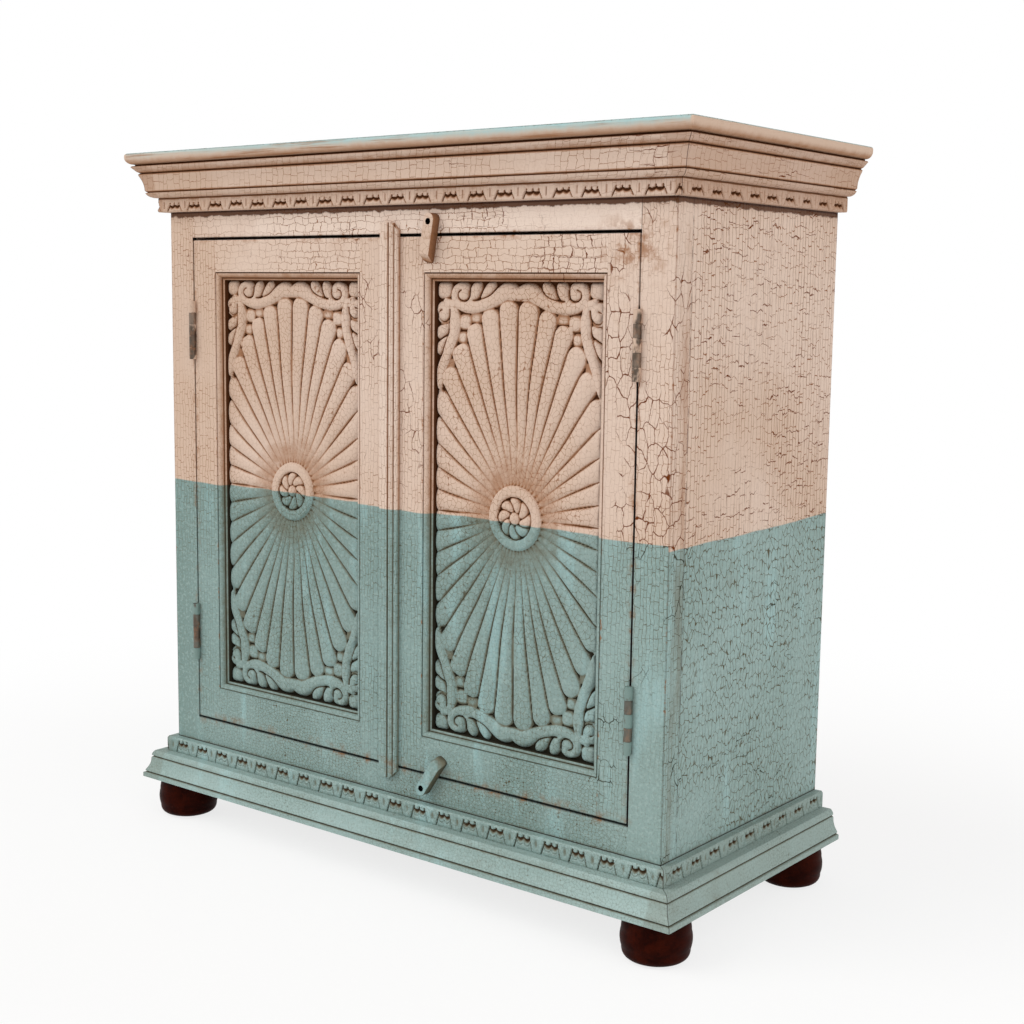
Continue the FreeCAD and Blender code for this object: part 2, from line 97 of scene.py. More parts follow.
class PaintSettings(bpy.types.PropertyGroup):
    """Colours of the old paint and where its two colours meet."""

    pink: colour("Pink", "Paint of the upper half", 220, 197, 181)
    # Bleached pink is painted light towards the right of the front
    pink_pale: colour("Bleached pink", "Pink where the sun has bleached it", 238, 220, 207)
    pink_deep: colour("Deep pink", "Darker patches of the upper paint", 206, 178, 157)
    turquoise: colour("Turquoise", "Paint of the lower half", 136, 161, 158)
    turquoise_deep: colour("Deep turquoise", "Darker patches of the lower paint", 117, 142, 137)
    # Bleached turquoise is painted light towards the right of the front, and pale paint where bleach or specks say
    pale: colour("Bleached turquoise", "Turquoise where the sun has bleached it", 168, 191, 188)
    cyan: colour("Cyan", "Bright rest of the turquoise", 158, 199, 202)
    glaze: colour("Upper glaze", "Brown glaze in the hollows above", 150, 98, 58)
    glaze_low: colour("Lower glaze", "Brown glaze in the hollows below", 104, 96, 74)
    # The deep hollow colours are painted shade with dirt, at the bottom of the hollows and along dark joints
    deep: colour("Deep hollow", "Dirt at the bottom of the upper hollows", 60, 28, 10)
    deep_low: colour("Deep lower hollow", "Dirt at the bottom of the lower hollows", 32, 27, 20)
    # The gap colour is painted shade in the gaps round the doors
    gap: colour("Gap", "Dirt in the gap beside the doors", 20, 14, 12)
    worn: colour("Worn spot", "Wood and rust tones where paint has gone", 150, 94, 46)
    crack_pink: colour("Crack in pink", "Depth of the cracks above", 106, 52, 20)
    crack_turquoise: colour("Crack in turquoise", "Depth of the cracks below", 58, 60, 48)
    split_height: length("Colour change", "Height at which the two colours meet", 456)
    split_wander: length("Wander", "How far the meeting line strays", 6)
    split_drop: length("Drop", "How much lower the meeting line lies on the sides", 6)
    split_lean: share("Lean", "Fall of the meeting line towards the right, per length", 0.01)


class WoodSettings(bpy.types.PropertyGroup):
    """Woods that aren't painted, and the metal fittings."""

    foot: colour("Foot", "Dark stained wood of the feet", 30, 4, 1)
    foot_light: colour("Foot grain", "Lighter grain of the feet", 51, 12, 3)
    bare: colour("Bare wood", "Wood inside and behind", 176, 138, 100)
    bare_dark: colour("Bare grain", "Darker grain of the bare wood", 128, 92, 62)
    steel: colour("Steel", "Bare hinge and screw metal", 92, 80, 70)


class CarvingSettings(bpy.types.PropertyGroup):
    """Sizes of the carving."""

    relief: length("Relief", "Height of the carving over its ground", 6.5)
    boss_radius: length("Boss", "Radius of the round boss", 37)
    burst_tall: length("Sunburst height", "Half height of the sunburst", 243)
    burst_wide: length("Sunburst width", "Half width of the sunburst's ellipse", 140)
    grid: length("Carving step", "Distance between points of the carved surface", 1.16)
    repeat: length("Leaf spacing", "Distance between leaves of the carved strips", 38.7)
    strip_step: length("Strip step", "Distance between points of the carved strips", 0.9)


class EdgeSettings(bpy.types.PropertyGroup):
    """How worn the arrises are."""

    soft: length("Softening", "Radius of the worn arrises", 1.1)
    reach: length("Wear reach", "How far wear runs in from an arris", 7)


class StageSettings(bpy.types.PropertyGroup):
    """Floor, light and camera."""

    floor: colour("Floor", "Pale studio floor", 250, 249, 248)
    floor_glow: share("Floor glow", "How far the floor near the cabinet is white", 0.78)
    key: share("Key light", "Strength of the soft light from above on the left", 1.35, 10)
    fill: share("Fill light", "Strength of the soft light from the right", 0.95, 10)
    sky: share("Sky", "Strength of the light from all round", 0.5, 10)
    lens: bpy.props.FloatProperty(name="Lens", description="Focal length in millimetres", default=55.776)
    place: bpy.props.FloatVectorProperty(name="Camera", description="Where the camera stands", subtype="TRANSLATION",
                                         unit="LENGTH", default=(1.2593, -1.5293, 0.7025))
    turn: bpy.props.FloatVectorProperty(name="Camera turn", description="How the camera is turned", subtype="EULER",
                                        unit="ROTATION", default=[math.radians(a) for a in (82.294, -0.750, 38.177)])


SETTINGS = {
    "cabinet_paint": PaintSettings,
    "cabinet_wood": WoodSettings,
    "cabinet_carving": CarvingSettings,
    "cabinet_edges": EdgeSettings,
    "cabinet_stage": StageSettings,
}


# Finishes


class Finish:
    """Node tree of one finish."""

    def __init__(self, name):
        self.material = bpy.data.materials.new(name)
        self.material.use_nodes = True
        self.tree = self.material.node_tree
        self.shader = self.tree.nodes["Principled BSDF"]
        self.place = self.add("ShaderNodeTexCoord").outputs["Object"]
        self.x, self.y, self.z = self.add("ShaderNodeSeparateXYZ", {"Vector": self.place}).outputs

    def add(self, kind, inputs=None, **settings):
        """New node with its settings and its inputs, by name or by number."""
        node = self.tree.nodes.new(kind)
        for key, value in settings.items():
            setattr(node, key, value)
        for key, value in (inputs or {}).items():
            self.feed(node.inputs[key], value)
        return node

    def feed(self, socket, value):
        """Link a socket, or set its value."""
        if isinstance(value, bpy.types.NodeSocket):
            self.tree.links.new(value, socket)
        elif socket.type == "RGBA":
            socket.default_value = (*value[:3], 1)
        else:
            socket.default_value = value

    def math(self, operation, a, b=0.0, clamp=False):
        """Result of one operation on two values."""
        return self.add("ShaderNodeMath", {0: a, 1: b}, operation=operation, use_clamp=clamp).outputs[0]

    def plus(self, a, b):
        """Sum of two values."""
        return self.math("ADD", a, b)

    def minus(self, a, b):
        """First value less the second."""
        return self.math("SUBTRACT", a, b)

    def size(self, value):
        """Value without its sign."""
        return self.math("ABSOLUTE", value)

    def over(self, value, limit):
        """1 where the value is over a limit."""
        return self.math("GREATER_THAN", value, limit)

    def under(self, value, limit):
        """1 where the value is under a limit."""
        return self.math("LESS_THAN", value, limit)

    def times(self, *values):
        """Product of several values."""
        total = values[0]
        for value in values[1:]:
            total = self.math("MULTIPLY", total, value)
        return total

    def most(self, a, b):
        """Larger of two values."""
        return self.math("MAXIMUM", a, b)

    def less(self, value):
        """One less the value."""
        return self.minus(1.0, value)

    def step(self, value, low, high):
        """Smooth step from 0 at low to 1 at high."""
        inputs = {"Value": value, "From Min": low, "From Max": high}
        return self.add("ShaderNodeMapRange", inputs, interpolation_type="SMOOTHSTEP").outputs[0]

    def close_to(self, value, place, inner, outer):
        """1 within inner of a place, and 0 from outer on."""
        return self.step(self.size(self.minus(value, place)), outer, inner)

    def on_sides(self):
        """1 on the sides of the case."""
        return self.over(self.size(self.x), SIDE_X - 1 * MM)

    def noise(self, vector, scale, detail=3.0, rough=0.55):
        """Soft random field from 0 to 1."""
        inputs = {"Vector": vector, "Scale": scale, "Detail": detail, "Roughness": rough}
        return self.add("ShaderNodeTexNoise", inputs).outputs["Fac"]

    def mix(self, factor, a, b):
        """Colour from a at 0 to b at 1."""
        return self.add("ShaderNodeMix", {0: factor, 6: a, 7: b}, data_type="RGBA").outputs[2]

    def shade(self, factor, a, b):
        """Colour a multiplied by b, as far as factor says."""
        inputs = {0: factor, 6: a, 7: b}
        return self.add("ShaderNodeMix", inputs, data_type="RGBA", blend_type="MULTIPLY").outputs[2]

    def vector(self, x, y, z=0.0):
        """Vector of three values."""
        return self.add("ShaderNodeCombineXYZ", {0: x, 1: y, 2: z}).outputs[0]

    def stretch(self, vector, factors):
        """Vector times a vector."""
        return self.add("ShaderNodeVectorMath", {0: vector, 1: factors}, operation="MULTIPLY").outputs[0]

    def stray(self, vector, scale, reach):
        """Vector shifted by a soft random amount, up to a reach across and one along."""
        field = self.add("ShaderNodeTexNoise", {"Vector": vector, "Scale": scale, "Detail": 2.0}).outputs["Color"]
        shift = self.add("ShaderNodeVectorMath", {0: field, 1: (0.5, 0.5, 0.5)}, operation="SUBTRACT").outputs[0]
        shift = self.stretch(shift, (*reach, 0)[:3])
        return self.add("ShaderNodeVectorMath", {0: vector, 1: shift}, operation="ADD").outputs[0]

    def cells(self, vector, feature):
        """Distance in flat near-square islands, about one unit across."""
        inputs = {"Vector": vector, "Scale": 1.0, "Randomness": 0.9, "Exponent": 4.0}
        return self.add("ShaderNodeTexVoronoi", inputs, voronoi_dimensions="2D", feature=feature,
                        distance="MINKOWSKI").outputs["Distance"]

    def lines_across(self, value, width):
        """Value that is 1 on random lines about one unit apart, and a random number for each strip between two."""
        inputs = {"W": value, "Scale": 1.0, "Randomness": 0.9}
        near = self.add("ShaderNodeTexVoronoi", inputs, voronoi_dimensions="1D", feature="DISTANCE_TO_EDGE")
        strip = self.add("ShaderNodeTexVoronoi", inputs, voronoi_dimensions="1D", feature="F1").outputs["Color"]
        line = self.less(self.step(near.outputs["Distance"], self.times(width, 0.3), width))
        return line, self.add("ShaderNodeSeparateColor", {0: strip}).outputs[0]

    def split_cracks(self, vector, cell, width):
        """Cracks along the longer way of a cell in millimetres, and short breaks that join them."""
        parts = self.add("ShaderNodeSeparateXYZ", {"Vector": vector}).outputs
        narrow, long = (0, 1) if cell[0] < cell[1] else (1, 0)
        wide = self.times(width, 1 / cell[narrow])
        line, strip = self.lines_across(self.times(parts[narrow], 1 / cell[narrow]), wide)
        along = self.plus(self.times(parts[long], 1 / cell[long]), self.times(strip, 37.0))
        joint, _ = self.lines_across(along, self.times(width, 1.3 / cell[long]))
        return line, joint

    def cracks(self, vector, cell, width):
        """Lines between islands of a given size; width is a share of that size."""
        scaled = self.stretch(vector, (1 / cell[0], 1 / cell[1], 1))
        apart = self.minus(self.cells(scaled, "F2"), self.cells(scaled, "F1"))
        return self.less(self.step(apart, self.times(width, 0.15), width))

    def attribute(self, name):
        """Value stored on the piece's points."""
        return self.add("ShaderNodeAttribute", attribute_name=name).outputs["Fac"]

    def bump(self, height, strength, distance):
        """Small surface relief."""
        inputs = {"Height": height, "Strength": strength, "Distance": distance}
        self.feed(self.shader.inputs["Normal"], self.add("ShaderNodeBump", inputs).outputs[0])

    def done(self, base, rough):
        """Connect colour and roughness."""
        self.feed(self.shader.inputs["Base Color"], base)
        self.feed(self.shader.inputs["Roughness"], rough)
        return self.material


def grain_colours(f, light, dark, factors):
    """Wood grain drawn out along one direction."""
    drawn = f.stretch(f.stray(f.place, 6.0, (0.02, 0.02, 0.02)), factors)
    broad = f.noise(drawn, 1.0, 4.0, 0.6)
    thin = f.noise(f.stretch(drawn, (3.1, 3.1, 3.1)), 1.0, 3.0, 0.6)
    base = f.mix(f.step(broad, 0.3, 0.7), light, dark)
    return f.shade(f.times(f.step(thin, 0.45, 0.75), 0.45), base, dark), broad, thin


# How far a pattern slides with depth, so that it goes on round a corner
TURN_SLIDE = 0.9
# Where the paint changes across the front or up it, from the first place to the second
CRACKED_ACROSS = (-0.45, 0.4)
# Painted light that falls off across the front: deep paint at the left as painted shade, and pale pink and turquoise
# towards the right as painted light
SHADED_LEFT_ACROSS = (-0.4, -0.3)
LIT_PINK_ACROSS = (-0.42, -0.2)
LIT_TURQUOISE_ACROSS = (0.2, 0.36)
SOUND_ACROSS = (0.17, 0.24)
SOUND_DOWN = (0.36, 0.26)


def paint_plane(f, plane):
    """Place on the surface in millimetres, laid flat the way that the piece faces."""
    if plane == "level":
        flat = f.vector(f.x, f.y)
    elif plane in ("wrap_up", "wrap_down"):
        out = f.most(f.minus(f.size(f.x), SIDE_X), f.minus(FRONT_Y, f.y))
        flat = f.vector(f.plus(f.x, f.y), (f.plus if plane == "wrap_up" else f.minus)(f.z, out))
    else:
        first, second = (f.y, f.x) if plane == "side" else (f.x, f.y)
        flat = f.vector(f.plus(first, f.times(second, TURN_SLIDE)), f.z)
    return f.stretch(flat, (1 / MM, 1 / MM, 0))


def upper_coat(f, flat):
    """1 on the upper coat, which ends at about one height and a little lower on the sides."""
    paint = bpy.context.scene.cabinet_paint
    wander = f.times(f.minus(f.noise(flat, 0.012, 2.0), 0.5), paint.split_wander)
    lean = f.minus(f.times(f.x, paint.split_lean), f.times(f.y, 2 * paint.split_lean))
    drop = f.times(f.step(f.size(f.x), SIDE_X - 1.0 * MM, SIDE_X - 0.4 * MM), paint.split_drop)
    height = f.plus(f.plus(f.z, lean), f.plus(wander, drop))
    return f.step(height, paint.split_height - 0.8 * MM, paint.split_height + 0.8 * MM)


def crackle_paint(name, fine_cell, wide_cell, wide, plane="front", jag=(5, 5), net=1.0, dirt=0.0, stained=0.35,
                  bleach=(0.0, 0.0), arris=0.0, rusty=0.0, split=(), whole=None, bare_from=None, coat="both"):
    """Old crackled paint.

    fine_cell and wide_cell are the sizes of the paint islands in millimetres, wide is how common the wide cracks
    are, jag is how far cracks stray across and along, net is the strength of the fine cracks, dirt the share of
    brown glaze everywhere and stained that of its patches, bleach the shares of pale paint above and below (the
    pale pink is painted light towards the right of the front), arris how brown the worn arrises are and rusty how
    rusty the deepest hollows are. The cracks named in split run the longer way of a cell with short breaks
    between. The paint has hardly cracked where whole says: at the right end, or low down. Beyond bare_from, inside
    the case, the wood is bare.
    """
    paint = bpy.context.scene.cabinet_paint
    wood = bpy.context.scene.cabinet_wood
    f = Finish(name)
    flat = paint_plane(f, plane)
    strayed = f.stray(f.stray(flat, 0.05, jag), 0.28, (0.25 * jag[0], 0.25 * jag[1]))
    broad = f.noise(f.place, 4.5, 3.0)
    patch = f.noise(f.place, 17.0, 3.0)
    speck = f.noise(f.place, 240.0, 2.0)
    ragged = f.noise(f.place, 70.0, 4.0, 0.65)
    rightness = f.step(f.x, *CRACKED_ACROSS)

    upper = upper_coat(f, flat) if coat == "both" else 1.0 if coat == "pink" else 0.0

    # Wide cracks in patches, most of them above and towards the right, and a fine net nearly everywhere
    loose = f.plus(patch, f.times(f.minus(rightness, 0.6), 0.2))
    loose = f.minus(loose, f.times(f.less(upper), 0.1))
    opened = f.step(loose, 0.6 - 0.16 * wide, 0.74 - 0.16 * wide)
    meshed = f.plus(f.times(f.step(f.noise(f.place, 9.0, 2.0), 0.3, 0.62), 0.55 * net), 0.18 * net)
    if "wide" in split:
        line, joint = f.split_cracks(strayed, wide_cell, f.plus(f.times(opened, 0.48), 0.1))
        faint = f.step(f.noise(flat, 0.06, 2.0), 0.4, 0.6)
        wide_lines = f.most(f.times(line, f.plus(f.times(faint, 0.7), 0.15)), joint)
    else:
        wide_lines = f.cracks(strayed, wide_cell, f.plus(f.times(opened, 0.065), 0.004))
    wide_lines = f.times(wide_lines, opened)
    if "fine" in split:
        line, joint = f.split_cracks(strayed, fine_cell, 0.38)
        fine_lines = f.most(line, joint)
        if plane == "side":
            islands = f.cracks(strayed, (1.1 * fine_cell[0], 0.85 * fine_cell[1]), 0.1)
            fine_lines = f.most(f.times(fine_lines, upper), f.times(islands, f.less(upper), 0.75))
    else:
        fine_lines = f.cracks(strayed, fine_cell, 0.09)
    fine_lines = f.times(fine_lines, meshed)
    if whole is not None:
        low_front = f.times(f.step(f.z, *SOUND_DOWN), f.less(f.on_sides()), f.step(broad, 0.35, 0.55))
        sound = f.step(f.x, *SOUND_ACROSS) if whole == "right" else low_front
        wide_lines = f.times(wide_lines, f.less(f.times(sound, 0.9)))
        fine_lines = f.times(fine_lines, f.less(f.times(sound, 0.75)))
    lines = f.most(wide_lines, fine_lines)

    # The coat
    # Deep paint in random patches, and at the left of the front as painted shade
    old = f.most(f.step(broad, 0.35, 0.7), f.less(f.step(f.x, *SHADED_LEFT_ACROSS)))
    old = f.most(old, f.times(f.step(ragged, 0.45, 0.75), 0.4))
    # Pale pink towards the right of the front as painted light, as far as bleach says
    bleached = f.times(f.step(f.x, *LIT_PINK_ACROSS), bleach[0])
    pink = f.mix(bleached, f.mix(old, paint.pink, paint.pink_deep), paint.pink_pale)
    turquoise = f.mix(old, paint.turquoise, paint.turquoise_deep)
    bright = f.step(f.noise(f.stretch(f.place, (32.0, 32.0, 5.0)), 1.0, 3.0), 0.54, 0.7)
    turquoise = f.mix(f.times(bright, 0.5), turquoise, paint.cyan)
    # Pale turquoise towards the right of the front as painted light, and pale all over as far as bleach says
    lit_right_and_pale = f.plus(f.times(f.step(f.x, *LIT_TURQUOISE_ACROSS), 0.3), bleach[1])
    turquoise = f.mix(lit_right_and_pale, turquoise, paint.pale)
    turquoise = f.mix(f.times(f.step(speck, 0.5, 0.64), 0.35), turquoise, paint.pale)
    base = f.mix(upper, turquoise, pink)
    glaze_colour = f.mix(upper, paint.glaze_low, paint.glaze)
    shade_and_dirt_colour = f.mix(rusty, f.mix(upper, paint.deep_low, paint.deep), paint.worn)
    crack_colour = f.mix(upper, paint.crack_turquoise, paint.crack_pink)

    # Brown glaze in the hollows, with painted shade and dirt at their bottom; painted shadow under the frieze;
    # painted shade in the gaps round the doors; stains, and spots where the paint has gone
    hollow = f.attribute("hollow")
    edge = f.attribute("edge")
    lies = f.step(f.plus(hollow, f.times(f.minus(ragged, 0.5), 0.5)), 0.15, 0.75)
    stain = f.step(f.noise(f.place, 7.0, 5.0, 0.65), 0.58, 0.78)
    sides = f.times(f.step(f.size(f.x), SIDE_X, SIDE_X + 4 * MM), 0.0 if coat == "top" else 0.25)
    film = f.plus(f.times(f.plus(sides, 1.0), f.most(f.times(stain, stained), dirt)), sides)
    if plane in ("front", "side"):
        loose_edge = f.plus(f.z, f.times(f.minus(ragged, 0.5), 9 * MM))
        # Painted shadow of the frieze on what lies below it, with a ragged lower edge
        frieze_shadow = f.step(loose_edge, FRIEZE_Z - 7.5 * MM, FRIEZE_Z - 5.5 * MM)
        film = f.most(film, side_streaks(f))
        film = f.most(film, f.times(f.step(loose_edge, TRIM_HEAD + 4 * MM, TRIM_HEAD), 0.6))
    base = f.mix(f.most(f.times(lies, 0.85), film), base, glaze_colour)
    gone = f.step(f.plus(f.times(edge, 0.36), ragged), 0.92, 1.02)
    chips = f.step(f.noise(f.place, 48.0, 4.0, 0.7), 0.72, 0.76)
    gone = f.most(gone, f.times(chips, 0.7))
    base = f.mix(f.times(gone, 0.8), base, paint.worn)
    base = f.mix(f.times(f.step(edge, 0.85, 1.0), arris), base, crack_colour)
    grime = f.step(f.noise(f.place, 420.0, 3.0, 0.6), 0.5, 0.68)
    base = f.mix(f.times(grime, f.minus(0.26, f.times(upper, 0.14))), base, glaze_colour)
    base = f.mix(f.math("MULTIPLY", fine_lines, 1.3, True), base, f.mix(0.4, glaze_colour, crack_colour))
    base = f.mix(wide_lines, base, crack_colour)
    # Painted shade with dirt in the deepest hollows: grooves, the carving's ground and under overhangs
    base = f.mix(f.times(f.step(hollow, 0.68, 0.95), 0.9), base, shade_and_dirt_colour)
    if plane in ("wrap_up", "wrap_down"):
        base = f.mix(mitre_line(f), base, shade_and_dirt_colour)
    if plane in ("front", "side"):
        # Painted shadow under the frieze, in dark brown
        base = f.mix(f.times(frieze_shadow, 0.96), base, f.mix(0.75, glaze_colour, shade_and_dirt_colour))
        base = f.mix(joint_lines(f, ragged), base, shade_and_dirt_colour)
        # Dark lines at the foot of the frieze, painted shade under its overhang along the joint, and at the head of
        # the base trim
        seam = f.most(f.step(f.z, FRIEZE_Z - 2.6 * MM, FRIEZE_Z - 1.8 * MM),
                      f.step(f.z, TRIM_HEAD + 1.8 * MM, TRIM_HEAD + 0.8 * MM))
        base = f.mix(f.times(seam, 0.9), base, shade_and_dirt_colour)
    if plane == "front":
        stains = f.most(corner_rust(f, ragged), gap_stain(f, ragged))
        base = f.mix(stains, base, f.mix(0.5, glaze_colour, paint.worn))
        # Painted shade in the gaps round the doors
        base = f.mix(door_gap_shade(f), base, paint.gap)
    height = f.plus(f.times(f.most(wide_lines, f.times(fine_lines, 0.4)), -1.0), f.times(speck, 0.2))
    height = f.minus(height, f.times(gone, 0.5))
    rough = f.plus(f.times(f.most(lines, gone), 0.2), f.plus(f.times(patch, 0.15), 0.5))
    if bare_from is not None:
        plain = grain_colours(f, wood.bare, wood.bare_dark, (70.0, 70.0, 4.0))[0]
        inside = f.times(f.over(f.y, bare_from), f.under(f.size(f.x), SIDE_X - 9 * MM))
        base = f.mix(inside, base, plain)
        height = f.times(height, f.less(inside))
    if coat == "top":
        base = f.mix(f.times(gone, 0.6), top_colours(f, base, ragged), paint.worn)
    f.bump(height, 0.4, 0.6 * MM)
    f.feed(f.shader.inputs["Specular IOR Level"], f.times(f.less(f.math("MAXIMUM", lines, hollow, True)), 0.3))
    return f.done(base, rough)


def door_gap_shade(f):
    """1 on the arrises on both sides of the gaps round the doors, where the gap colour is painted shade; beside the
    left door, and over the upper hinge at the right, it is lighter.
    """
    door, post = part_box("right_door_hinge_stile"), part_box("front_post_right")
    head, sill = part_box("top_rail")[0].z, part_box("bottom_rail")[1].z
    out = f.size(f.x)
    beside = f.times(f.step(out, door[1].x - 0.9 * MM, door[1].x - 0.5 * MM),
                     f.less(f.step(out, post[0].x + 0.2 * MM, post[0].x + 0.6 * MM)))
    tall = f.times(f.over(f.z, sill - 0.5 * MM), f.under(f.z, head + 0.5 * MM))
    below_hinges = f.step(f.z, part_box("case_hinge_leaves")[1].z + 5 * MM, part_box("case_hinge_leaves")[1].z)
    beside = f.times(beside, tall, f.plus(f.times(f.step(f.x, -0.1, 0.1), below_hinges, 0.65), 0.35))
    over = f.times(f.step(f.z, door[1].z - 1.1 * MM, door[1].z - 0.7 * MM),
                   f.less(f.step(f.z, head, head + 0.5 * MM)))
    under = f.times(f.step(f.z, sill - 0.5 * MM, sill),
                    f.less(f.step(f.z, door[0].z + 0.5 * MM, door[0].z + 1 * MM)))
    wide = f.under(out, post[0].x + 0.5 * MM)
    flush = f.times(f.over(f.y, FRONT_Y - 0.5 * MM), f.under(f.y, FRONT_Y + 6 * MM))
    return f.times(f.most(beside, f.times(f.most(over, f.times(under, 0.8)), wide)), flush)


def mitre_line(f):
    """1 along the mitres of the runs round the case."""
    line = f.close_to(f.plus(f.size(f.x), f.y), SIDE_X + FRONT_Y, 0.3 * MM, 0.9 * MM)
    return f.times(line, f.over(f.size(f.x), SIDE_X - 5 * MM), 0.75)


def joint_lines(f, ragged):
    """Lines where the paint has parted over the joints of the posts with the top rail and the side boards."""
    low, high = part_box("front_post_right")
    beside = f.times(f.close_to(f.x, low.x, 0.3 * MM, 0.8 * MM), f.over(f.z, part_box("top_rail")[0].z))
    behind = f.times(f.close_to(f.y, high.y, 0.5 * MM, 1.4 * MM), f.on_sides(), f.step(ragged, 0.4, 0.6))
    return f.times(f.most(beside, behind), 0.6)


def side_streaks(f):
    """Brown glaze that has run down the sides of the case, just behind the front."""
    band = f.close_to(f.y, FRONT_Y + 19 * MM, 5 * MM, 15 * MM)
    runs = f.step(f.noise(f.stretch(f.place, (40.0, 40.0, 6.0)), 1.0, 3.0), 0.4, 0.65)
    return f.times(f.on_sides(), band, runs, 0.5)


def corner_rust(f, ragged):
    """Rusty stains round the upper outer corner of the right door."""
    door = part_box("right_door_hinge_stile")[1]
    across = f.close_to(f.x, door.x - 8 * MM, 10 * MM, 60 * MM)
    up = f.close_to(f.z, door.z - 15 * MM, 5 * MM, 50 * MM)
    return f.times(across, up, f.step(ragged, 0.42, 0.64), 0.75)


def gap_stain(f, ragged):
    """Brown stains that have run from the gaps round the doors."""
    low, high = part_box("right_door_hinge_stile")
    out = f.size(f.x)
    tall = f.times(f.over(f.z, low.z), f.under(f.z, high.z))
    beside = f.times(f.close_to(out, high.x, 1 * MM, 9 * MM), tall)
    over = f.close_to(f.z, high.z, 1 * MM, 8 * MM)
    under = f.close_to(f.z, low.z, 1 * MM, 14 * MM)
    level = f.times(f.most(over, under), f.under(out, high.x))
    return f.times(f.most(beside, level), f.step(ragged, 0.46, 0.68), 0.6)


def top_colours(f, base, ragged):
    """Nose of the top board: pink sides, and brown that runs up into the turquoise in front."""
    paint = bpy.context.scene.cabinet_paint
    low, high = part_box("top_board")
    raised = f.plus(f.z, f.times(f.minus(ragged, 0.5), 6 * MM))
    streaks = f.step(f.noise(f.stretch(f.place, (7.0, 160.0, 160.0)), 1.0, 4.0, 0.6), 0.3, 0.62)
    wash = f.times(f.step(f.x, -0.5, 0.1), 0.35)
    wash = f.times(f.step(raised, low.z + 3 * MM, high.z), f.plus(f.times(streaks, 0.4), f.plus(wash, 0.2)))
    front = f.mix(wash, paint.pink_deep, paint.cyan)
    front = f.mix(f.times(f.less(f.step(raised, low.z, low.z + 8 * MM)), 0.6), front, paint.glaze)
    fibres = f.step(f.noise(f.stretch(f.place, (9.0, 300.0, 300.0)), 1.0, 4.0, 0.6), 0.53, 0.66)
    front = f.mix(f.times(fibres, 0.6), front, paint.glaze)
    end_share = f.step(f.size(f.x), high.x - 5 * MM, high.x - 2 * MM)
    end_colour = f.mix(f.step(raised, low.z - 2 * MM, low.z + 8 * MM), paint.glaze, paint.pink_deep)
    nose = f.less(f.step(f.z, high.z - 2 * MM, high.z - 0.5 * MM))
    return f.mix(nose, base, f.mix(end_share, front, end_colour))


def foot_stain(name):
    """Dark stained and waxed turned wood."""
    wood = bpy.context.scene.cabinet_wood
    f = Finish(name)
    base, broad, thin = grain_colours(f, wood.foot, wood.foot_light, (60.0, 12.0, 60.0))
    scuffs = f.step(f.noise(f.place, 90.0, 4.0, 0.7), 0.66, 0.74)
    base = f.mix(f.times(scuffs, 0.3), base, wood.foot_light)
    f.bump(f.plus(f.times(thin, 0.4), f.times(scuffs, -0.5)), 0.2, 0.4 * MM)
    f.shader.inputs["Specular IOR Level"].default_value = 0.03
    return f.done(base, f.plus(f.times(broad, 0.2), 0.35))


def bare_wood(name, factors):
    """Dry bare wood with its grain one way."""
    wood = bpy.context.scene.cabinet_wood
    f = Finish(name)
    base, broad, thin = grain_colours(f, wood.bare, wood.bare_dark, factors)
    grime = f.step(f.noise(f.place, 7.0, 4.0), 0.5, 0.8)
    base = f.shade(f.times(grime, 0.5), base, wood.bare_dark)
    base = f.shade(f.times(f.attribute("edge"), 0.4), base, wood.bare_dark)
    f.bump(f.plus(thin, f.times(broad, 0.5)), 0.3, 0.5 * MM)
    return f.done(base, f.plus(f.times(thin, 0.15), 0.68))


def old_steel(name, painted):
    """Dull steel with rust and what is left of the paint."""
    paint = bpy.context.scene.cabinet_paint
    wood = bpy.context.scene.cabinet_wood
    f = Finish(name)
    rust = f.step(f.noise(f.place, 120.0, 4.0, 0.65), 0.45, 0.7)
    base = f.mix(f.times(rust, 0.45), wood.steel, paint.worn)
    upper = f.over(f.z, paint.split_height)
    colour_left = f.mix(upper, paint.turquoise_deep, paint.pink_deep)
    kept = f.times(f.step(f.noise(f.stretch(f.place, (40.0, 40.0, 22.0)), 1.0, 4.0, 0.6), 0.42, 0.5), painted)
    base = f.mix(kept, base, colour_left)
    f.feed(f.shader.inputs["Metallic"], f.times(f.less(kept), f.less(f.times(rust, 0.8)), 0.8))
    f.bump(f.plus(f.times(rust, 0.5), kept), 0.35, 0.4 * MM)
    return f.done(base, f.plus(f.times(f.most(rust, kept), 0.25), 0.42))


BOTH = ("wide", "fine")
# Behind these, posts and door frames are bare inside the case
POST_BARE, FRAME_BARE = -128 * MM, -130 * MM
# What paints of upright and of level boards share
UPRIGHT = {"fine_cell": (5, 14), "jag": (8, 10), "split": ("fine",)}
LEVEL = {"fine_cell": (13, 7.5), "wide_cell": (19, 11), "wide": 0.8, "jag": (14, 12), "net": 1.1, "arris": 0.15,
         "split": BOTH, "bare_from": FRAME_BARE}

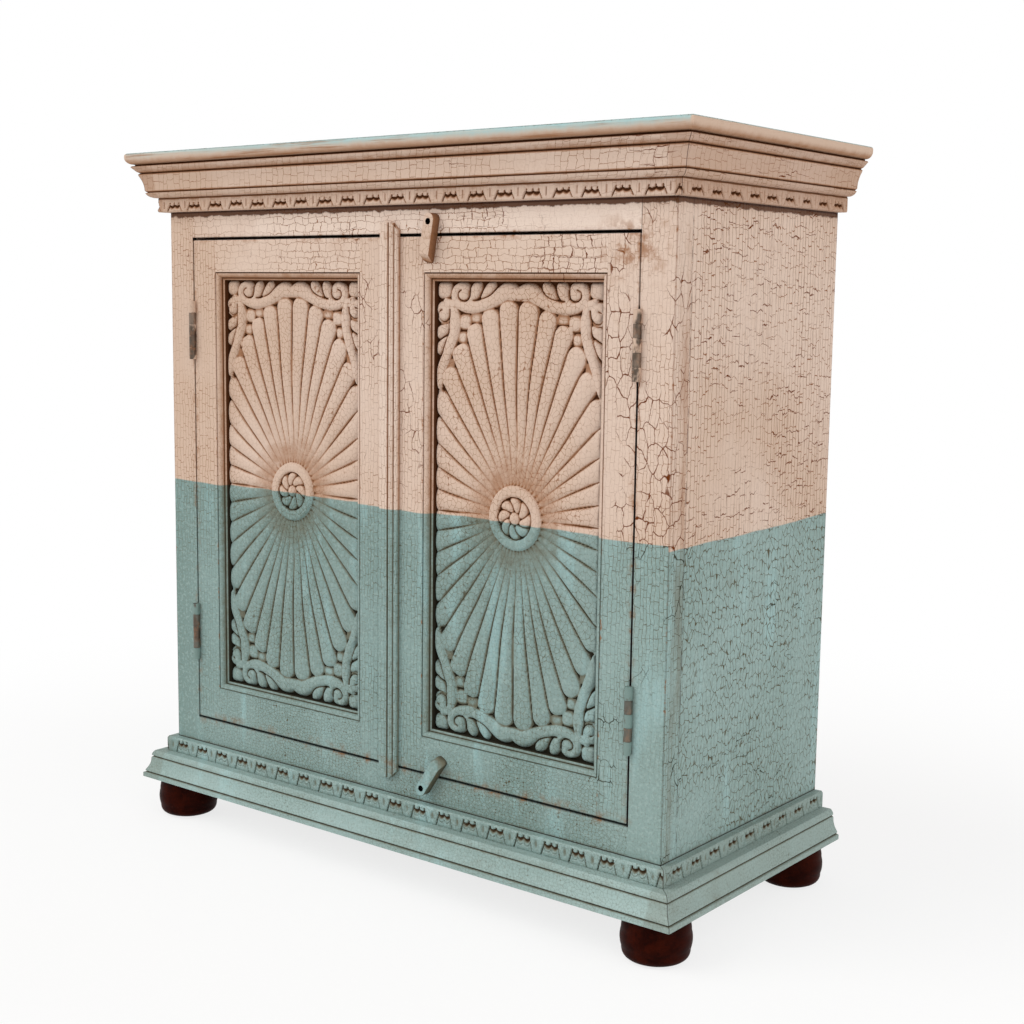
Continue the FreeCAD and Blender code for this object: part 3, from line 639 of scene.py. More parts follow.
# What sets each crackled paint apart, as crackle_paint takes it
PAINTS = {
    "paint_carving": dict(fine_cell=(6, 7), wide_cell=(9, 12), wide=-0.4, net=0.85, dirt=0.08,
                          bare_from=PANEL_GROUND + 2 * MM),
    "paint_top": dict(fine_cell=(12, 8), wide_cell=(26, 14), wide=0.3, plane="level", coat="top"),
    "paint_cornice": dict(fine_cell=(10, 15), wide_cell=(14, 18), wide=0.1, plane="wrap_up", jag=(9, 9), net=0.9,
                          dirt=0.1, stained=0.6, arris=0.3, split=BOTH, coat="pink"),
    "paint_frieze": dict(fine_cell=(6, 14), wide_cell=(14, 20), wide=-0.6, plane="wrap_up", jag=(6, 8), net=0.5,
                         dirt=0.16, stained=0.6, split=BOTH, coat="pink"),
    "paint_base": dict(fine_cell=(5, 6), wide_cell=(12, 10), wide=0.15, plane="wrap_down", net=0.6, bleach=(0, 0.25),
                       arris=0.3, rusty=0.1, coat="turquoise"),
    "paint_plinth": dict(fine_cell=(5, 5), wide_cell=(18, 10), wide=0.1, plane="wrap_down", net=0.6, bleach=(0, 0.5),
                         arris=0.6, coat="turquoise"),
    "paint_side": dict(fine_cell=(6.5, 15), wide_cell=(13, 24), wide=0.6, plane="side", jag=(4.5, 16), net=1.5,
                       split=BOTH, bare_from=-1.0),
    "paint_post": dict(UPRIGHT, wide_cell=(13, 24), wide=0.8, net=0.9, arris=0.3, whole="low", bare_from=POST_BARE),
    "paint_stile": dict(UPRIGHT, wide_cell=(13, 23), wide=0.75, net=0.8, arris=0.15, bare_from=FRAME_BARE),
    "paint_strip": dict(UPRIGHT, wide_cell=(13, 23), wide=0.2, net=0.8, bleach=(0.25, 0), arris=0.15,
                        bare_from=FRAME_BARE),
    "paint_rail": dict(LEVEL, bleach=(0.2, 0)),
    # The case's top rail is paler pink as painted light, lifting the shade under the frieze
    "paint_head": dict(LEVEL, bleach=(0.6, 0), whole="right"),
    "paint_sill": dict(fine_cell=(5, 4), wide_cell=(16, 9), wide=-0.5, jag=(4, 3), net=1.2, arris=0.4,
                       bare_from=FRAME_BARE),
    "paint_bead": dict(fine_cell=(5, 7), wide_cell=(18, 18), wide=0.1, net=0.6, dirt=0.08, arris=0.2),
    "paint_latch": dict(fine_cell=(8, 8), wide_cell=(15, 15), wide=0.1, net=0.4),
}
# Way of the grain of each bare wood, and share of paint left on each steel
WOODS = {"bare_wood": (60.0, 60.0, 3.0), "bare_wood_level": (3.0, 60.0, 60.0)}
STEELS = {"hinge_steel": 0.95, "hinge_bare": 0.2, "screw_steel": 0.0}


def finish(slot):
    """The aged finish of a slot, made once."""
    name = "aged_" + slot
    if name in bpy.data.materials:
        return bpy.data.materials[name]
    if slot in PAINTS:
        return crackle_paint(name, **PAINTS[slot])
    if slot in WOODS:
        return bare_wood(name, WOODS[slot])
    return old_steel(name, STEELS[slot]) if slot in STEELS else foot_stain(name)


# Shaping


def new_form():
    """Empty mesh with a value for worn arrises and one for hollows on each point."""
    form = bmesh.new()
    form.verts.layers.float.new("edge")
    form.verts.layers.float.new("hollow")
    return form


def marks(form):
    """The two layers of a form."""
    return form.verts.layers.float["edge"], form.verts.layers.float["hollow"]


def made_points(geom):
    """Points among what an operator made."""
    return [g for g in geom if isinstance(g, bmesh.types.BMVert)]


def made_lines(geom):
    """Edges among what an operator made."""
    return [g for g in geom if isinstance(g, bmesh.types.BMEdge)]


def open_rim(form):
    """Edges of a form with a face on one side only."""
    return [line for line in form.edges if line.is_boundary]


def bow_line(form, line, bow, cuts):
    """Cut an edge into short ones that bow out, and give those."""
    start, end = (vert.co.copy() for vert in line.verts)
    chord = end - start
    made = bmesh.ops.subdivide_edges(form, edges=[line], cuts=cuts)
    for vert in made_points(made["geom_inner"]):
        t = (vert.co - start).dot(chord) / chord.length_squared
        vert.co += bow * (4 * t * (1 - t))
    return made_lines(made["geom_split"])


def block(form, low, high):
    """Box between two corners."""
    spread = Matrix.Translation((low + high) / 2) @ Matrix.Diagonal((*(high - low), 1))
    bmesh.ops.create_cube(form, size=1, matrix=spread)


def set_piece(name, form, body, slot, nodes, material=None, crease=35.0):
    """Put a finished form in the scene in place of its solids."""
    mesh = bpy.data.meshes.new(name)
    form.to_mesh(mesh)
    form.free()
    mesh.shade_smooth()
    mesh.set_sharp_from_angle(angle=math.radians(crease))
    mesh.materials.append(finish(material or slot))
    piece = bpy.data.objects.new(name, mesh)
    bpy.context.scene.collection.objects.link(piece)
    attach(piece, body)
    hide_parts(*nodes)
    return piece


def rail_finish(node):
    """Finish of the rails that differ: the bottom ones have smaller cracks, the case's top one is paler."""
    if node.endswith("bottom_rail"):
        return "paint_sill"
    return "paint_head" if node == "top_rail" else None


def dress_node(node, slot):
    """Give a solid that stays its finish."""
    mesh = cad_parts[node].data
    mesh.materials.clear()
    mesh.materials.append(finish(slot))


def soft_board(low, high, soft, reach, joints=()):
    """Board with worn arrises, and a band beside each arris for the wear.

    joints names the sides that meet another board, such as "-x": their arrises stay sharp and painted over.
    """
    form = new_form()
    edge, _ = marks(form)
    block(form, low, high)
    joined_faces = [face for face in form.faces if side_name(face.normal) in joints]
    arrises = [line for line in form.edges if not any(face in joined_faces for face in line.link_faces)]
    band = min(reach, min(high - low) * 0.3)
    bmesh.ops.inset_individual(form, faces=list(form.faces), thickness=band)
    bmesh.ops.bevel(form, geom=arrises, offset=soft, segments=2, profile=0.5, affect="EDGES", material=-1)
    ends = [(axis, end[axis]) for sign, end in (("-", low), ("+", high)) for axis in range(3)
            if sign + "xyz"[axis] not in joints]
    for vert in form.verts:
        near = [abs(vert.co[axis] - value) <= soft * 1.01 for axis, value in ends]
        vert[edge] = 1.0 if sum(near) > 1 else 0.0
    return form


def set_board(node, body, slot, joints):
    """Put a worn board in place of its solid."""
    edges = bpy.context.scene.cabinet_edges
    form = soft_board(*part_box(node), edges.soft, edges.reach, joints)
    set_piece("worn_" + node, form, body, slot, [node], rail_finish(node))


def side_name(normal):
    """Name of the side that a level or upright face looks to."""
    axis = max(range(3), key=lambda i: abs(normal[i]))
    return ("-" if normal[axis] < 0 else "+") + "xyz"[axis]


def add_run(form, profile, origin, out, up, along):
    """Moulding of one section, drawn along a vector.

    A profile step is (out, up, bend out, bend up, edge, hollow) in millimetres; the bend bows the line to the next.
    """
    edge, hollow = marks(form)
    corners = []
    for step in profile:
        vert = form.verts.new(origin + out * (step[0] * MM) + up * (step[1] * MM))
        vert[edge], vert[hollow] = step[4], step[5]
        corners.append(vert)
    lines = [form.edges.new((a, b)) for a, b in zip(corners, corners[1:] + corners[:1])]
    rim = list(lines)
    for line, step in zip(lines, profile):
        if step[2] or step[3]:
            rim += bow_line(form, line, out * (step[2] * MM) + up * (step[3] * MM), 7)
    face = bmesh.ops.contextual_create(form, geom=list(dict.fromkeys(rim)))["faces"][0]
    moved = bmesh.ops.extrude_face_region(form, geom=[face])["geom"]
    bmesh.ops.translate(form, vec=along, verts=made_points(moved))


def trim_off(form, point, normal):
    """Cut away what lies beyond a plane, and close the cut."""
    everything = form.verts[:] + form.edges[:] + form.faces[:]
    made = bmesh.ops.bisect_plane(form, geom=everything, dist=1e-7, plane_co=point, plane_no=normal, clear_outer=True)
    bmesh.ops.contextual_create(form, geom=made_lines(made["geom_cut"]))


def outward(form):
    """Faces all point outwards."""
    bmesh.ops.recalc_face_normals(form, faces=form.faces)


def joined(forms):
    """Several forms as one."""
    whole = new_form()
    for form in forms:
        part = bpy.data.meshes.new("part")
        form.to_mesh(part)
        form.free()
        whole.from_mesh(part)
        bpy.data.meshes.remove(part)
    return whole


# Front corners of the case, and what their mitres and the sides face
CORNER = {"right": Vector((SIDE_X, FRONT_Y, 0)), "left": Vector((-SIDE_X, FRONT_Y, 0))}
MITRE = {"right": Vector((1, 1, 0)).normalized(), "left": Vector((-1, 1, 0)).normalized()}
OUTWARD = {"front": -Y, "right": X, "left": -X}
RUN_SPARE = 60 * MM
STRIP_SPARE = 4 * MM


def clean_ends(form):
    """Keep the glaze and painted shade of the hollows off the sawn ends at the back."""
    edge, hollow = marks(form)
    ends = [face for face in form.faces if all(vert.co.y > BACK_Y - 0.01 * MM for vert in face.verts)]
    bmesh.ops.inset_region(form, faces=ends, thickness=0.3 * MM, use_even_offset=True)
    for vert in {vert for face in ends for vert in face.verts}:
        vert[edge], vert[hollow] = 0.0, 0.1


def side_run(side, z, spare):
    """Start, direction and length of a run along one side of the case, with some spare at the mitres."""
    if side == "front":
        return Vector((-SIDE_X - spare, FRONT_Y, z)), X, 2 * (SIDE_X + spare)
    return CORNER[side] + Z * z - Y * spare, Y, BACK_Y - FRONT_Y + spare


def mitre(form, side):
    """Cut a run at the front corners that it reaches."""
    if side == "front":
        for corner, normal in MITRE.items():
            trim_off(form, CORNER[corner], normal)
    else:
        trim_off(form, CORNER[side], -MITRE[side])
    outward(form)


def case_run(profile, z, side):
    """One length of moulding round the case, mitred at the front corners."""
    form = new_form()
    origin, along, run = side_run(side, z, RUN_SPARE)
    add_run(form, profile, origin, OUTWARD[side], Z, along * run)
    mitre(form, side)
    clean_ends(form)
    return form


# Sections of the mouldings, as add_run takes them
# A hollow near 1 takes painted shade with glaze: in the grooves, and on the cornice's top under the top board's nose
CORNICE = [
    (0, 0, 0, 0, 0, 0),
    (11.5, 0, 1.1, -1.6, 0, 0.45),
    (22.5, 5.9, 0, 0, 0.2, 0.2),
    (20.3, 7.2, 0, 0, 0, 1.0),
    (22.6, 8.6, 0, 0, 0.2, 0.65),
    (23.1, 10.4, -1.2, 0, 0, 0.08),
    (28.3, 27.8, 0, 0, 0, 0.12),
    (28.8, 29.6, 0, 0, 0, 0.75),
    (26.6, 31.2, 0, 0, 0, 1.0),
    (29.8, 32.8, 0, 0, 0.2, 0.55),
    (35.5, 38.6, 0, 0, 0.2, 0.2),
    (34.6, 39.8, 0, 0, 0, 0.9),
    (31.4, 40.6, 0, 0, 0, 1.0),
    (31.4, 42.0, 0, 0, 0, 1.0),
    (0, 42.0, 0, 0, 0, 1.0),
]
PLINTH = [
    (-30.0, 0, 0, 0, 0, 0),
    (34.0, 0, 0, 0, 0.4, 0),
    (34.0, 5.6, 0, 0, 0.3, 0.2),
    (30.2, 6.8, 0, 0, 0, 1.0),
    (32.0, 8.0, 0, 0, 0.2, 0.4),
    (31.5, 9.6, -1.5, 0, 0, 0.05),
    (26.1, 25.4, 0, 0, 0, 0.1),
    (25.6, 26.8, 0, 0, 0.1, 0.4),
    (23.6, 28.0, 0, 0, 0, 1.0),
    (25.5, 29.2, 1.0, 0, 0.2, 0.3),
    (22.0, 36.0, 0, 0, 0.2, 0.2),
    (-30.0, 36.0, 0, 0, 0, 0.3),
]


# Carving


def sag(values, low, high):
    """Smooth step on numbers."""
    t = np.clip((values - low) / (high - low), 0, 1)
    return t * t * (3 - 2 * t)


def uneven(number, seed):
    """Small steady differences between one hand-cut repeat and the next, from -0.5 to 0.5."""
    return np.modf(np.abs(np.sin(number * 12.9898 + seed)) * 437.5453)[0] - 0.5


def scallops(s, t, start, seed, head, slip, dip, half, foot, deep, fade, lean, dot):
    """Depth of a strip's gouges under a scalloped head, and distances from the middle and the end of each repeat.

    Measures are in millimetres: start of the first repeat, height of the head with its slips and dips, half widths of
    the scallops and of their foot, depth of a gouge, how far down it fades, and height of the drilled dots. lean is
    how much shallower a gouge is at its right end.
    """
    repeat = bpy.context.scene.cabinet_carving.repeat / MM
    number = np.floor((s - start) / repeat + 0.5)
    local = np.mod(s - start + repeat / 2, repeat) - repeat / 2
    between = repeat / 2 - np.abs(local)
    local = local * (1 + 0.14 * uneven(number, seed)) + 2.4 * uneven(number, seed + 1)
    reach = np.abs(local)
    rim = head + slip * uneven(number, seed + 2) - dip * np.abs(np.sin(math.pi * local / half))
    below = np.where(reach > half, head * (foot - reach) / (foot - half), rim) - t
    cut = deep * np.clip(1 - below / fade, 0, 1) * sag(below, -0.5, 0.4)
    cut = cut * (1 - lean * sag(local, half - 1, half + 1.5))
    off_dot = np.hypot(np.minimum(reach, np.abs(reach - half + 1)), t - dot)
    return np.maximum(cut, (deep - 0.2) * np.clip(1 - off_dot / 1.8, 0, 1)), reach, between


def frieze_cut(s, t):
    """Depth of the cuts in the strip under the cornice: gouged arches with a scalloped head."""
    cut, reach, between = scallops(s, t, start=19.0, seed=1.0, head=10.0, slip=1.2, dip=1.8, half=9.5, foot=14.6,
                                   deep=3.4, fade=6.5, lean=0.25, dot=10.6)
    line = 2.0 * np.clip(1 - between / 1.1, 0, 1) * sag(t, 2.5, 5.0) * (1 - sag(t, 12.5, 15.0))
    dome = 0.9 * sag(between, 2.0, 9.0) * (1 - sag(reach, 8.0, 12.0)) * sag(t, 9, 15)
    arris = 1.2 * (1 - sag(t, 0.0, 1.6)) + 0.9 * sag(t, 16.4, 18.0)
    return np.maximum(np.maximum(cut, line), np.maximum(dome, arris))


def trim_cut(s, t):
    """Depth of the cuts in the strip round the foot of the case: paired lobes under a scalloped head."""
    cut, reach, between = scallops(s, t, start=18.0, seed=4.0, head=16.2, slip=1.4, dip=3.0, half=9.0, foot=13.5,
                                   deep=3.2, fade=7.5, lean=0.3, dot=16.0)
    lobe = 1.5 * np.clip(1 - np.abs(np.hypot((reach - 4.6) / 0.9, t - 9.5) - 4.3) / 0.9, 0, 1) * (t < 9.5)
    oval = 1.3 * np.sqrt(np.clip(1 - (between / 2.6) ** 2 - ((t - 10.5) / 6.0) ** 2, 0, 1))
    arris = 1.4 * sag(t, 17.6, 20.0) + 0.6 * (1 - sag(t, 0.0, 1.2))
    return np.maximum(np.maximum(cut, lobe), np.maximum(oval, arris))


def grid_form(across, tall, step):
    """Flat grid in the XY plane with its corner at the origin, and its points as arrays of millimetres."""
    form = new_form()
    columns, rows = max(4, round(across / step)), max(4, round(tall / step))
    bmesh.ops.create_grid(form, x_segments=columns, y_segments=rows, size=0.5)
    low = Vector([min(v.co[i] for v in form.verts) for i in range(2)] + [0])
    high = Vector([max(v.co[i] for v in form.verts) for i in range(2)] + [0])
    bmesh.ops.translate(form, vec=-low, verts=form.verts)
    bmesh.ops.scale(form, vec=(across / (high.x - low.x), tall / (high.y - low.y), 1), verts=form.verts)
    points = np.array([v.co[:2] for v in form.verts]) / MM
    return form, points[:, 0], points[:, 1]


def carved_strip(side, z, tall, thick, cut, head_shade):
    """Carved strip of one side of the case, mitred at the front corners, with painted shade along its head as far as
    head_shade says.
    """
    origin, along, run = side_run(side, z, thick + STRIP_SPARE)
    form, s, t = grid_form(run, tall, bpy.context.scene.cabinet_carving.strip_step)
    edge, hollow = marks(form)
    wander = 0.7 * np.sin(s * 0.071 + 1.0) + 0.4 * np.sin(s * 0.19)
    depth = cut(s + along.dot(origin) / MM + wander, t + 0.3 * np.sin(s * 0.11))
    out = OUTWARD[side]
    for vert, deep, height in zip(form.verts, depth, t):
        inside = 1.5 < height < tall / MM - 2
        vert[hollow] = min(1.0, max(0.0, (deep - 0.2) / 1.9)) if inside else head_shade if height > 2 else 0.3
        vert[edge] = 0.2 if deep < 0.4 else 0.0
        vert.co = origin + along * vert.co.x + Z * vert.co.y + out * (thick - deep * MM)
    made = bmesh.ops.extrude_edge_only(form, edges=open_rim(form))["geom"]
    for vert in made_points(made):
        vert.co += out * (out.dot(origin) - out.dot(vert.co))
    bmesh.ops.contextual_create(form, geom=open_rim(form))
    mitre(form, side)
    return form


# Angles of the grooves between the petals, in degrees from upright
GROOVES = (0.0, 7.0, 13.5, 20.2, 28.0, 36.5, 46.0, 56.0, 66.5, 78.0, 90.0)
# Shares of the relief at a petal's sides and root, how much of its length it rises for, and its tip in half widths
PETAL_FLOOR, PETAL_ROOT, PETAL_RISE, PETAL_TIP = 0.28, 0.5, 0.55, 1.05
# Boss in millimetres: its rounded edge, inner line of the rim, ring of petals with its half width, and the button
BOSS_ROUND, BOSS_RIM, ROSETTE_RING, ROSETTE_HALF, BUTTON_RADIUS = 3, (23.6, 25.0), 15.4, 8.4, 7.6
ROSETTE_PETALS = 8
# Corners begin outside this share of the sunburst and over this height, and their cuts take this share of the relief
CORNER_FROM, CORNER_OVER, LEAF_DEPTH = 0.86, 125, 0.65

# Scrolls of one corner: points (across, up, half width) from the panel's middle, and a share of the relief
SCROLLS = [
    ([(-6, 250, 8), (0, 248, 7), (8, 250, 9.8), (16, 250.5, 10.4), (25, 246.5, 9.6), (34, 241.5, 8.4),
      (44, 237.2, 7.4), (55, 234.4, 7), (68, 233, 6.8), (80, 235, 6.6), (88.5, 240.2, 6.2), (91.5, 247.5, 5.4),
      (89, 254.5, 4.4), (83, 258, 3.6)], 1.05),
    ([(52, 238, 4), (47, 243, 7), (42.5, 249, 8.2), (39, 255, 6.8), (37, 260, 3)], 0.92),
    ([(71, 238, 4), (66, 243, 7), (62, 249, 8.4), (59, 255, 7), (57.5, 260, 3)], 0.92),
    ([(104, 240, 4), (97, 236.5, 6), (92.5, 227.5, 7.2), (91, 217, 7.6), (92, 206, 7.2), (95.4, 193.5, 6.8),
      (101, 181, 6.8), (107, 169, 7.4), (110.8, 158.5, 7), (112, 149, 5), (112.4, 141, 1.8)], 1.05),
    ([(95, 219, 4), (100, 214.5, 7), (106.5, 210, 8.2), (112.5, 206, 7.4), (118, 202, 4.5)], 0.92),
    ([(96, 201, 4), (101, 196.5, 7), (107, 192, 8.2), (113, 187.5, 7.4), (118, 183.5, 4.5)], 0.92),
]
# Curled ends: middle, radius and share of the relief
CURLS = [(79.8, 249.6, 12.6, 1.06), (107.6, 228, 12.8, 1.06)]
# Gouged lines between and on the leaves: points and half width
LEAF_CUTS = [
    ([(68, 252), (68.6, 245.6), (73, 241.4), (80, 240.6), (85.2, 244.6), (85, 250.2), (80.6, 252.6)], 1.9),
    ([(97.6, 231), (98.6, 223.4), (104, 218), (110.8, 218.6), (114.6, 223.6), (113.2, 228.8), (109, 230.6)], 1.9),
    ([(29, 259), (33, 252.5), (39, 247), (47, 243.5), (55, 241.8), (64, 240.8)], 1.5),
    ([(57, 242), (53.6, 247), (51, 253), (50, 260)], 1.7),
    ([(70, 243), (70.4, 249), (69.6, 254), (68.6, 260)], 1.5),
    ([(99, 220), (99.2, 212), (100.4, 204), (103.4, 195), (107.4, 186), (113, 177), (118, 172)], 1.5),
    ([(99.2, 217), (104.6, 215.2), (111, 214.4), (118, 212)], 1.6),
    ([(100.6, 203), (106, 200.6), (112, 197.4), (118, 193.4)], 1.7),
]
# Rounded leaves: middle, half sizes and share of the relief
PADS = [(106.5, 252.4, 10.4, 9.6, 0.95), (77, 217.6, 9, 8.8, 0.62), (60.5, 222, 9, 6, 0.45),
        (81, 200, 7, 6.8, 0.48), (97, 169, 5.6, 7.6, 0.44), (46.5, 228.5, 5.2, 4, 0.34),
        (113, 134.5, 4.2, 5.4, 0.42)]


def smooth_path(points):
    """Path of points drawn through the given ones in a smooth curve."""
    rows = np.array(points, float)
    ends = np.vstack([2 * rows[0] - rows[1], rows, 2 * rows[-1] - rows[-2]])
    path = []
    for a, b, c, d in zip(ends, ends[1:], ends[2:], ends[3:]):
        for t in np.arange(0, 1, 0.25):
            path.append(0.5 * (2 * b + (c - a) * t + (2 * a - 5 * b + 4 * c - d) * t ** 2
                               + (3 * b - a - 3 * c + d) * t ** 3))
    return np.array(path + [rows[-1]])


def off_path(u, v, path):
    """Distance from a path, in half widths where the path has them."""
    best = np.full(u.shape, 9.0)
    for a, b in zip(path, path[1:]):
        run = b[:2] - a[:2]
        t = np.clip(((u - a[0]) * run[0] + (v - a[1]) * run[1]) / max(run @ run, 1e-9), 0, 1)
        away = np.hypot(u - a[0] - t * run[0], v - a[1] - t * run[1])
        if len(a) > 2:
            away = away / (a[2] + t * (b[2] - a[2]))
        best = np.minimum(best, away)
    return best


def round_top(rho, power=2.4):
    """Rounded section: 1 in the middle and 0 at the side."""
    return np.sqrt(np.clip(1 - np.abs(rho) ** power, 0, 1))


def petal_relief(u, v, carving):
    """Sunburst of tapered petals, as a share of the relief."""
    au, av = np.abs(u), np.abs(v)
    relief = np.zeros_like(u)
    tall, wide, boss = (value / MM for value in (carving.burst_tall, carving.burst_wide, carving.boss_radius))
    for start, end in zip(GROOVES, GROOVES[1:]):
        middle, half = math.radians((start + end) / 2), math.tan(math.radians((end - start) / 2))
        reach = 1 / math.hypot(math.cos(middle) / tall, math.sin(middle) / wide)
        along = av * math.cos(middle) + au * math.sin(middle)
        rho = (au * math.cos(middle) - av * math.sin(middle)) / np.maximum(along * half, 1e-6)
        tip = reach * half * PETAL_TIP
        past = np.clip((along - reach + tip) / tip, 0, None)
        crown = PETAL_ROOT + (1 - PETAL_ROOT) * sag(along, boss, boss + PETAL_RISE * (reach - boss))
        inside = np.clip(1 - np.abs(rho) ** 2.2 - past ** 2.6, 0, 1)
        body = crown * (PETAL_FLOOR * np.clip(inside * 12, 0, 1) + (1 - PETAL_FLOOR) * np.sqrt(inside))
        relief = np.maximum(relief, np.where((np.abs(rho) <= 1) & (along > 0), body, 0))
    return relief


def boss_relief(u, v, carving):
    """Round boss with a flat rim and a sunk rosette of eight petals, as a share of the relief; below 0 outside it."""
    radius = carving.boss_radius / MM
    r, turn = np.hypot(u, v), np.arctan2(u, v)
    rim = 1.1 * np.sqrt(np.clip(1 - np.clip((r - radius + BOSS_ROUND) / BOSS_ROUND, 0, 1) ** 2, 0, 1))
    sunk = 1 - sag(r, *BOSS_RIM)
    rho = 2 * np.mod(ROSETTE_PETALS * (turn + 0.03 * (r - 8)) / (2 * math.pi), 1) - 1
    ring = np.abs((r - ROSETTE_RING) / ROSETTE_HALF)
    rosette = 0.1 + 0.95 * np.sqrt(np.clip(1 - np.abs(rho) ** 2.6 - ring ** 4, 0, 1))
    button = 1.25 * np.sqrt(np.clip(1 - (r / BUTTON_RADIUS) ** 2.4, 0, 1))
    inside = np.where(r < BUTTON_RADIUS, np.maximum(button, 0.1), rosette)
    return np.where(r < radius, rim * (1 - sunk) + inside * sunk, -1)


def corner_relief(u, v, carving):
    """Scrolls, curls and leaves of the four corners, as a share of the relief."""
    au, av = np.abs(u), np.abs(v)
    relief = np.zeros_like(u)
    outside = np.hypot(au / (carving.burst_wide / MM), av / (carving.burst_tall / MM)) > CORNER_FROM
    near = np.flatnonzero(outside & (av > CORNER_OVER))
    x, z = au[near], av[near]
    top = np.zeros_like(x)
    for cx, cz, a, b, tall in PADS:
        rho = np.abs((x - cx) / a) ** 3.4 + np.abs((z - cz) / b) ** 3.4
        top = np.maximum(top, tall * np.sqrt(np.clip(1 - rho, 0, 1)))
    for points, tall in SCROLLS:
        top = np.maximum(top, tall * round_top(off_path(x, z, smooth_path(points)), 3.4))
    for cx, cz, radius, tall in CURLS:
        top = np.maximum(top, tall * round_top(np.hypot(x - cx, z - cz) / radius, 3.6))
    for points, wide in LEAF_CUTS:
        groove = np.clip(1 - off_path(x, z, smooth_path(points)) / wide, 0, 1)
        top -= LEAF_DEPTH * groove * (top > 0.3)
    relief[near] = top
    return relief


def panel_relief(u, v, carving, hand):
    """Whole carving of a panel as a share of the relief, with the small slips of a hand."""
    wu = u + 0.55 * np.sin(v * 0.043 + 1.3 * hand) + 0.35 * np.sin(u * 0.11 + v * 0.03 + hand)
    wv = v + 0.6 * np.sin(u * 0.05 + 0.4 * hand) + 0.4 * np.sin(v * 0.06 + 2.0 * hand)
    relief = np.maximum(petal_relief(wu, wv, carving), corner_relief(wu, wv, carving))
    boss = boss_relief(wu, wv, carving)
    return np.where(boss >= 0, boss, relief)


def blurred(field, reach):
    """Field averaged over a small square, twice."""
    for _ in range(2):
        for axis in (0, 1):
            padded = np.pad(field, [(reach, reach) if i == axis else (0, 0) for i in (0, 1)], mode="edge")
            total = np.cumsum(padded, axis=axis)
            total = np.concatenate([np.zeros_like(np.take(total, [0], axis=axis)), total], axis=axis)
            count = field.shape[axis]
            wide = 2 * reach + 1
            upper = np.take(total, np.arange(wide, wide + count), axis=axis)
            field = (upper - np.take(total, np.arange(0, count), axis=axis)) / wide
    return field


def glaze_shade_and_wear(sheet, away):
    """Glaze and painted shade in the hollows of a carved sheet, and wear on its crests; away is how far its points
    are from the boss.
    """
    dirt = np.clip((blurred(sheet, 1) - sheet) * 7.0, 0, 1)
    dirt = np.maximum(dirt, np.clip((blurred(sheet, 2) - sheet) * 4.0, 0, 0.9))
    dirt = np.maximum(dirt, np.clip((blurred(sheet, 6) - sheet) * 3.0, 0, 0.66))
    dirt = np.maximum(dirt, 1 - sag(sheet, 0.02, 0.35))
    # Painted shade in a ring round the boss, whose rim stands over the petals
    dirt = np.maximum(dirt, 0.5 * sag(away, 0, 3) * (1 - sag(away, 5, 75)))
    return dirt, np.clip((sheet - blurred(sheet, 4)) * 1.4, 0, 1)


def carved_panel(hand):
    """Door panel with its carving, in one closed form; hand is 1 for the right door and -1 for the left."""
    carving = bpy.context.scene.cabinet_carving
    low = Vector((BEAD_LOW.x + BEAD_WIDE, 0, BEAD_LOW.z + BEAD_WIDE))
    high = Vector((BEAD_HIGH.x - BEAD_WIDE, 0, BEAD_HIGH.z - BEAD_WIDE))
    middle, half = (low + high) / 2, (high - low) / 2
    form, u, v = grid_form(2 * half.x, 2 * half.z, carving.grid)
    edge, hollow = marks(form)
    columns = np.unique(np.round(u, 3)).size
    u, v = u - half.x / MM, v - half.z / MM
    third = carving.grid / MM / 3
    shifts = [(du, dv) for du in (-third, 0, third) for dv in (-third, 0, third)]
    relief = sum(panel_relief(u + du, v + dv, carving, hand) for du, dv in shifts) / len(shifts)
    across, up = half.x / MM - np.abs(u), half.z / MM - np.abs(v)
    relief = relief * sag(across, 0.6, 2.2) * sag(up, 0.2, 1.6)
    order = np.lexsort((np.round(u, 3), np.round(v, 3)))
    sheet = relief[order].reshape(-1, columns)
    sheet = 0.6 * sheet + 0.4 * blurred(sheet, 1)
    glaze_shade, crest = glaze_shade_and_wear(sheet, np.hypot(u, v)[order].reshape(-1, columns) - carving.boss_radius / MM)
    height, deep, high_spot = (np.empty_like(u) for _ in range(3))
    height[order], deep[order], high_spot[order] = sheet.ravel(), glaze_shade.ravel(), crest.ravel()
    for vert, tall, sunk, worn in zip(form.verts, height, deep, high_spot):
        vert[hollow], vert[edge] = sunk, 0.5 * worn
        place = vert.co
        vert.co = (hand * (low.x + place.x), PANEL_GROUND - tall * carving.relief, low.z + place.y)
    slab_x = (PANEL_HIGH.x - PANEL_LOW.x) / 2 / half.x
    slab_z = (PANEL_HIGH.z - PANEL_LOW.z) / 2 / half.z
    heart = Vector((hand * middle.x, 0, middle.z))
    flange = bmesh.ops.extrude_edge_only(form, edges=open_rim(form))["geom"]
    for vert in made_points(flange):
        away = vert.co - heart
        vert.co = (heart.x + away.x * slab_x, PANEL_GROUND, heart.z + away.z * slab_z)
    wall = bmesh.ops.extrude_edge_only(form, edges=open_rim(form))["geom"]
    for vert in made_points(wall):
        vert.co.y = PANEL_HIGH.y
    bmesh.ops.contextual_create(form, geom=open_rim(form))
    outward(form)
    return form


# Operators


class CabinetStep:
    """What the operators share."""

    bl_options = {"REGISTER", "UNDO"}

    def execute(self, context):
        """Build the step's pieces."""
        self.build()
        return {"FINISHED"}


